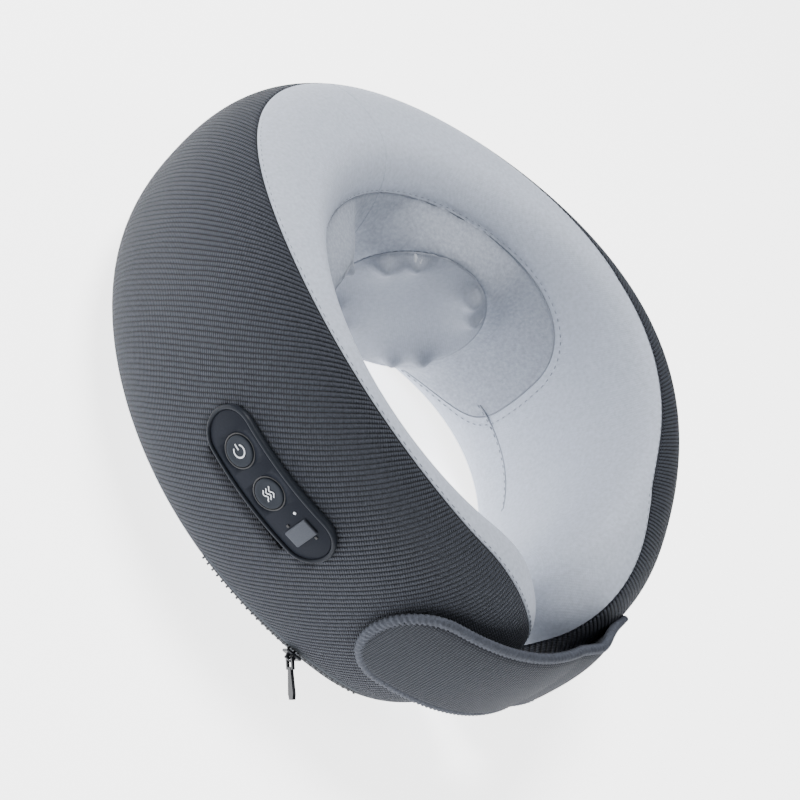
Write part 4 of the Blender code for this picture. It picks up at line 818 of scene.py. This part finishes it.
def strap_thread():
    t, level = strap_rim(4.6 * MM)
    path = strap_points(t, level, 1.55 * MM)
    outs = path - (SHIFT + np.stack([0 * t, 0 * t, path[:, 2] - SHIFT[2]], 1))
    outs /= np.linalg.norm(outs, axis=1)[:, None]
    thread = stitches("strap_thread", path, outs, 2.4 * MM, 0.4 * MM)
    give(thread, DARK_THREAD)
    return thread


# ---------------------------------------------------------------- zip
def skin_at_level(t, level):
    s = np.linspace(-89 * DEG, 0, 400)
    points = ring_skin(t, s)
    return np.array([np.interp(level, points[:, 2], points[:, axis]) for axis in (0, 1)])


def zip_run():
    """The tape follows the skin; small teeth stand on it."""
    t = np.linspace(ZIP_FROM, ZIP_TO, 90)
    rows = []
    for level in ZIP_LEVEL + ZIP_WIDTH * np.array([-0.5, -0.42, 0, 0.42, 0.5]):
        rows.append([(*skin_at_level(angle, level), level) for angle in t])
    points = np.array(rows)
    out = points - [0, 0, 1] * points
    out /= np.linalg.norm(out, axis=-1)[..., None]
    lift = np.array([-0.3, 0.05, 0.05, 0.05, -0.3])[:, None, None] * MM
    tape = grid_object("zip_band", points + out * lift + SHIFT)
    face_out(tape)
    thicken(tape, 0.6 * MM)
    give(tape, TAPE)
    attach(tape, "right_arm")
    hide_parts("zip_tape")
    middle = points[2] + SHIFT
    spots = resample(middle, 1.3 * MM)
    ahead = np.gradient(spots, axis=0)
    ahead /= np.linalg.norm(ahead, axis=1)[:, None]
    vertices, faces = [], []
    for k, (spot, along) in enumerate(zip(spots, ahead)):
        outward = np.array([spot[0] - SHIFT[0], spot[1] - SHIFT[1], 0])
        outward /= np.linalg.norm(outward)
        across = np.cross(outward, along)
        start = len(vertices)
        shift = across * (0.45 * MM if k % 2 else -0.45 * MM)
        for a in (-1, 1):
            for b in (-1, 1):
                for c in (-1, 1):
                    vertices.append(spot + shift + along * a * 0.4 * MM + across * b * 0.9 * MM
                                    + outward * c * 0.25 * MM)
        for quad in ((0, 1, 3, 2), (4, 6, 7, 5), (0, 4, 5, 1), (2, 3, 7, 6), (0, 2, 6, 4), (1, 5, 7, 3)):
            faces.append(tuple(start + q for q in quad))
    teeth = recalc(new_mesh("zip_teeth", vertices, faces, smooth=False))
    give(teeth, BLACK_METAL)
    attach(teeth, "right_arm")


# ---------------------------------------------------------------- materials
def nodes_of(name, colour, roughness, metallic=0.0):
    made = bpy.data.materials.new(name)
    made.use_nodes = True
    tree = made.node_tree
    shader = tree.nodes["Principled BSDF"]
    shader.inputs["Base Color"].default_value = (*colour, 1)
    shader.inputs["Roughness"].default_value = roughness
    shader.inputs["Metallic"].default_value = metallic
    return made, tree, shader


def math_node(tree, operation, a, b=None):
    node = tree.nodes.new("ShaderNodeMath")
    node.operation = operation
    for socket, value in zip(node.inputs, (a, b)):
        if value is None:
            continue
        if isinstance(value, (int, float)):
            socket.default_value = value
        else:
            tree.links.new(value, socket)
    return node.outputs[0]


def uv_parts(tree):
    uv = tree.nodes.new("ShaderNodeUVMap")
    uv.uv_map = "UVMap"
    split = tree.nodes.new("ShaderNodeSeparateXYZ")
    tree.links.new(uv.outputs[0], split.inputs[0])
    return split.outputs[0], split.outputs[1], uv.outputs[0]


def noise(tree, scale, detail=3.0, vector=None, roughness=0.5):
    node = tree.nodes.new("ShaderNodeTexNoise")
    node.inputs["Scale"].default_value = scale
    node.inputs["Detail"].default_value = detail
    node.inputs["Roughness"].default_value = roughness
    if vector is None:
        vector = tree.nodes.new("ShaderNodeTexCoord").outputs["Object"]
    tree.links.new(vector, node.inputs["Vector"])
    return node.outputs["Fac"]


def mix_colours(tree, share, low, high, socket):
    ramp = tree.nodes.new("ShaderNodeMix")
    ramp.data_type = "RGBA"
    ramp.inputs[6].default_value = (*low, 1)
    ramp.inputs[7].default_value = (*high, 1)
    tree.links.new(share, ramp.inputs[0])
    tree.links.new(ramp.outputs[2], socket)


def bump(tree, shader, height, distance, strength=1.0):
    node = tree.nodes.new("ShaderNodeBump")
    node.inputs["Distance"].default_value = distance
    node.inputs["Strength"].default_value = strength
    tree.links.new(height, node.inputs["Height"])
    tree.links.new(node.outputs[0], shader.inputs["Normal"])


def sheen(shader, weight, roughness, tint):
    shader.inputs["Sheen Weight"].default_value = weight
    shader.inputs["Sheen Roughness"].default_value = roughness
    shader.inputs["Sheen Tint"].default_value = (*tint, 1)


def ribbed_knit(name, low, high, pitch, depth, stitch=1.1 * MM):
    """Round ribs across U, each rib broken by small stitches along V; the troughs between ribs are painted darker
    as shade.
    """
    made, tree, shader = nodes_of(name, high, 0.85)
    u, v, uv = uv_parts(tree)
    wobble = math_node(tree, "MULTIPLY", math_node(tree, "SUBTRACT", noise(tree, 60, 2, uv), 0.5), 0.5 * MM)
    along = math_node(tree, "ADD", u, wobble)
    wave = math_node(tree, "SINE", math_node(tree, "MULTIPLY", along, math.pi / pitch))
    rib = math_node(tree, "ABSOLUTE", wave)
    leg = math_node(tree, "SINE", math_node(tree, "MULTIPLY", v, 2 * math.pi / stitch))
    leg = math_node(tree, "MULTIPLY_ADD", leg, 0.22)
    leg.node.inputs[2].default_value = 0.78
    fuzz = noise(tree, 1800, 3)
    height = math_node(tree, "MULTIPLY", rib, leg)
    height = math_node(tree, "ADD", height, math_node(tree, "MULTIPLY", fuzz, 0.35))
    cloud = noise(tree, 900, 2)
    # Painted shade: colour falls to the low tone in the troughs between ribs; the noise cloud adds random tone.
    rib_painted_shade = math_node(tree, "POWER", rib, 0.7)
    share = math_node(tree, "MULTIPLY", rib_painted_shade, math_node(tree, "ADD", cloud, 0.45))
    share.node.use_clamp = True
    mix_colours(tree, share, low, high, shader.inputs["Base Color"])
    bump(tree, shader, height, depth)
    sheen(shader, 0.06, 0.4, (0.75, 0.82, 0.95))
    shader.inputs["Specular IOR Level"].default_value = 0.25
    return made


def fine_knit(name, low, high, scale, depth):
    """Smooth stretch fabric with a hair-fine grain; inside the oval panel its colour is painted darker, as shade.
    """
    made, tree, shader = nodes_of(name, high, 0.72)
    u, v, _ = uv_parts(tree)
    warp = math_node(tree, "SINE", math_node(tree, "MULTIPLY", u, 2 * math.pi / scale))
    weft = math_node(tree, "SINE", math_node(tree, "MULTIPLY", v, 2 * math.pi / (scale * 1.3)))
    grain = math_node(tree, "MULTIPLY", warp, weft)
    fuzz = noise(tree, 2500, 2)
    height = math_node(tree, "ADD", math_node(tree, "MULTIPLY", grain, 0.35), fuzz)
    cloud = math_node(tree, "MULTIPLY", noise(tree, 700, 3), 0.7)
    panel = tree.nodes.new("ShaderNodeAttribute")
    panel.attribute_name = "panel"
    # Painted shade: fabric inside the oval panel is coloured darker than the rest of the light knit.
    inside = math_node(tree, "GREATER_THAN", panel.outputs["Fac"], 0.0)
    panel_painted_shade = math_node(tree, "MULTIPLY", inside, 0.5)
    cloud = math_node(tree, "SUBTRACT", math_node(tree, "ADD", cloud, 0.3), panel_painted_shade)
    cloud.node.use_clamp = True
    mix_colours(tree, cloud, low, high, shader.inputs["Base Color"])
    bump(tree, shader, height, depth)
    sheen(shader, 0.08, 0.35, (0.9, 0.94, 1.0))
    shader.inputs["Specular IOR Level"].default_value = 0.3
    return made


def moulded(name, low, high, roughness, metallic=0.0, grain=1600, depth=0.03 * MM, coat=0.0, gloss=0.4):
    made, tree, shader = nodes_of(name, high, roughness, metallic)
    speck = noise(tree, grain, 3)
    mix_colours(tree, speck, low, high, shader.inputs["Base Color"])
    rough = math_node(tree, "MULTIPLY_ADD", noise(tree, grain / 20, 2), 0.12)
    rough.node.inputs[2].default_value = max(roughness - 0.06, 0.02)
    tree.links.new(rough, shader.inputs["Roughness"])
    bump(tree, shader, speck, depth)
    shader.inputs["Coat Weight"].default_value = coat
    shader.inputs["Specular IOR Level"].default_value = gloss
    shader.inputs["Coat Roughness"].default_value = 0.08
    return made


def shade(colour, factor):
    return tuple(min(c * factor, 1.0) for c in colour)


DARK = (0.031, 0.035, 0.046)
LIGHT = (0.50, 0.545, 0.64)
DARK_KNIT = ribbed_knit("dark_ribbed_knit", shade(DARK, 0.08), shade(DARK, 1.25), RIB_PITCH, 1.0 * MM)
STRAP_KNIT = ribbed_knit("strap_fine_knit", shade(DARK, 0.3), shade(DARK, 0.8), 1.2 * MM, 0.35 * MM, 0.9 * MM)
LIGHT_KNIT = fine_knit("light_stretch_knit", shade(LIGHT, 0.45), LIGHT, 0.9 * MM, 0.06 * MM)
# Painted shade: the head discs' fabric is coloured darker to match the shaded oval panel round it.
PANEL_SHADED_KNIT = fine_knit("panel_knit_painted_shade", shade(LIGHT, 0.28), shade(LIGHT, 0.52), 0.9 * MM, 0.06 * MM)
OVERLOCK = moulded("overlocked_edge", shade(DARK, 0.5), shade(DARK, 2.2), 0.85, grain=900, depth=0.3 * MM)
SEAM_CORD = moulded("seam_cord", shade(DARK, 0.25), shade(DARK, 0.45), 0.9, grain=1200, depth=0.1 * MM)
DARK_THREAD = moulded("dark_thread", shade(DARK, 0.1), shade(DARK, 0.18), 0.8, grain=2500)
GREY_THREAD = moulded("grey_thread", shade(LIGHT, 0.3), shade(LIGHT, 0.45), 0.8, grain=2500)
POD_FACE = moulded("pod_black_face", (0.008, 0.010, 0.015), (0.012, 0.014, 0.020), 0.4, gloss=0.04)
BEZEL = moulded("pod_black_rim", (0.012, 0.014, 0.019), (0.017, 0.020, 0.026), 0.36, gloss=0.08)
GROOVE_SHADE = moulded("pod_groove_painted_shade", (0.004, 0.005, 0.007), (0.008, 0.009, 0.012), 0.5)
KEY = moulded("key_satin", (0.014, 0.017, 0.023), (0.019, 0.023, 0.03), 0.45, gloss=0.06)
ICON = moulded("icon_print", (0.6, 0.63, 0.68), (0.7, 0.73, 0.78), 0.5)
LENS = moulded("led_lens", (0.7, 0.73, 0.78), (0.8, 0.83, 0.88), 0.3)
FLAP = moulded("grey_silicone", (0.045, 0.05, 0.062), (0.06, 0.066, 0.08), 0.6, gloss=0.1)
TAPE = moulded("zip_tape_weave", (0.03, 0.035, 0.045), (0.05, 0.058, 0.07), 0.9, grain=900, depth=0.15 * MM)
BLACK_METAL = moulded("black_enamel", (0.015, 0.016, 0.02), (0.02, 0.022, 0.026), 0.35, metallic=0.6)
HIDDEN = {
    "foam": moulded("open_cell_foam", (0.7, 0.68, 0.6), (0.85, 0.83, 0.75), 0.95, grain=700, depth=0.6 * MM),
    "abs": moulded("black_abs", (0.04, 0.045, 0.05), (0.06, 0.065, 0.07), 0.5),
    "steel": moulded("plated_steel", (0.5, 0.5, 0.52), (0.62, 0.62, 0.64), 0.32, metallic=1.0),
    "brass": moulded("turned_brass", (0.65, 0.48, 0.2), (0.78, 0.6, 0.28), 0.3, metallic=1.0),
    "acetal": moulded("white_acetal", (0.8, 0.8, 0.77), (0.88, 0.88, 0.85), 0.45),
    "silicone": moulded("grey_head_silicone", (0.28, 0.3, 0.34), (0.34, 0.36, 0.4), 0.6),
    "board": moulded("green_board", (0.02, 0.15, 0.07), (0.035, 0.22, 0.11), 0.5),
    "film": moulded("amber_film", (0.4, 0.19, 0.05), (0.5, 0.26, 0.08), 0.35),
    "cell": moulded("blue_sleeve", (0.08, 0.16, 0.36), (0.12, 0.22, 0.45), 0.45),
    "led": LENS, "gloss": POD_FACE, "button": KEY,
    "rubber": moulded("hook_and_loop", (0.05, 0.055, 0.065), (0.09, 0.1, 0.115), 0.95, grain=900,
                      depth=0.4 * MM),
    "lead": moulded("red_lead_sheath", (0.35, 0.04, 0.03), (0.45, 0.06, 0.05), 0.5),
    "dark_knit": DARK_KNIT, "light_knit": LIGHT_KNIT,
}


def give(obj, material):
    obj.data.materials.clear()
    obj.data.materials.append(material)


def finish_cad_nodes():
    slots = {part["node"]: part["material_slot"] for part in frame["record"]["subparts"]}
    for name, node in frame["nodes"].items():
        material = BLACK_METAL if name in ("zip_slider", "zip_pull") else HIDDEN[slots[name]]
        node.data.materials.clear()
        node.data.materials.append(material)


# ---------------------------------------------------------------- build
def build_skins():
    line, height = draped_height()
    for side in (1, -1):
        name = side_name(side)
        dark = dark_skin(side)
        give(dark, DARK_KNIT)
        fold(dark)
        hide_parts(f"outer_cover_{name}", *(["outer_cover_nape"] if side > 0 else []))
        inner = light_skin(side)
        give(inner, LIGHT_KNIT)
        fold(inner)
        shared = ["inner_cover_nape", "massage_panel"] if side > 0 else []
        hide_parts(f"inner_cover_{name}", *shared)
        disc = head_disc(side, line, height)
        give(disc, PANEL_SHADED_KNIT)
        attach(disc, f"{name}_head")
        for cord in seam_cords(side):
            give(cord, SEAM_CORD)
            fold(cord)
        thread = seam_stitches(side)
        give(thread, GREY_THREAD)
        fold(thread)
        for piece in panel_seam(side):
            give(piece, GREY_THREAD)
            fold(piece)


def build_arm_seam():
    for piece in arm_seam():
        give(piece, GREY_THREAD)
        fold(piece)


# ---------------------------------------------------------------- studio
CAMERA_AZIMUTH, CAMERA_ELEVATION, CAMERA_ROLL = -73.17 * DEG, 33.59 * DEG, 54.56 * DEG
CAMERA_DISTANCE, CAMERA_LENS = 0.9425, 110.95
CAMERA_SHIFT = (-0.0179, 0.0311)


def camera_axes():
    az, el, roll = CAMERA_AZIMUTH, CAMERA_ELEVATION, CAMERA_ROLL
    back = Vector((math.sin(az) * math.cos(el), -math.cos(az) * math.cos(el), math.sin(el)))
    right = Vector((math.cos(az), math.sin(az), 0))
    up = back.cross(right)
    image_right = right * math.cos(roll) + up * math.sin(roll)
    image_up = -right * math.sin(roll) + up * math.cos(roll)
    return image_right, image_up, back


def add_camera():
    image_right, image_up, back = camera_axes()
    data = bpy.data.cameras.new("camera")
    data.lens, data.sensor_width = CAMERA_LENS, 36.0
    data.shift_x, data.shift_y = CAMERA_SHIFT
    data.clip_start, data.clip_end = 0.01, 50
    camera = bpy.data.objects.new("camera", data)
    matrix = Matrix((image_right, image_up, back)).transposed().to_4x4()
    matrix.translation = CENTRE + back * CAMERA_DISTANCE
    camera.matrix_world = matrix
    bpy.context.scene.collection.objects.link(camera)
    bpy.context.scene.camera = camera


def area_light(name, direction, distance, size, power, colour=(1, 1, 1)):
    """A soft light along a direction given in the camera's right, up and back axes."""
    image_right, image_up, back = camera_axes()
    toward = (image_right * direction[0] + image_up * direction[1] + back * direction[2]).normalized()
    data = bpy.data.lights.new(name, "AREA")
    data.shape, data.size, data.energy, data.color = "DISK", size, power, colour
    lamp = bpy.data.objects.new(name, data)
    lamp.location = CENTRE + toward * distance
    lamp.rotation_mode = "QUATERNION"
    lamp.rotation_quaternion = toward.to_track_quat("Z", "Y")
    bpy.context.scene.collection.objects.link(lamp)


def studio():
    world = bpy.data.worlds.new("studio")
    bpy.context.scene.world = world
    world.use_nodes = True
    background = world.node_tree.nodes["Background"]
    background.inputs["Color"].default_value = (0.93, 0.96, 1.0, 1)
    background.inputs["Strength"].default_value = 0.25
    size = 6.0
    floor = new_mesh("floor", [(-size, -size, 0), (size, -size, 0), (size, size, 0), (-size, size, 0)],
                     [(0, 1, 2, 3)], smooth=False)
    material, _, shader = nodes_of("pale_floor", (0.95, 0.95, 0.95), 0.9)
    shader.inputs["Emission Color"].default_value = (1, 1, 1, 1)
    shader.inputs["Emission Strength"].default_value = 3.2
    floor.data.materials.append(material)
    area_light("key", (0.45, 0.9, 0.5), 1.3, 0.5, 26)
    area_light("fill", (-0.5, 0.5, 0.9), 1.4, 0.9, 2.5)
    area_light("side", (0.9, 0.1, 0.4), 1.4, 0.6, 5)


finish_cad_nodes()
build_skins()
build_arm_seam()
key_pod()
closing_strap()
zip_run()
add_camera()
studio()
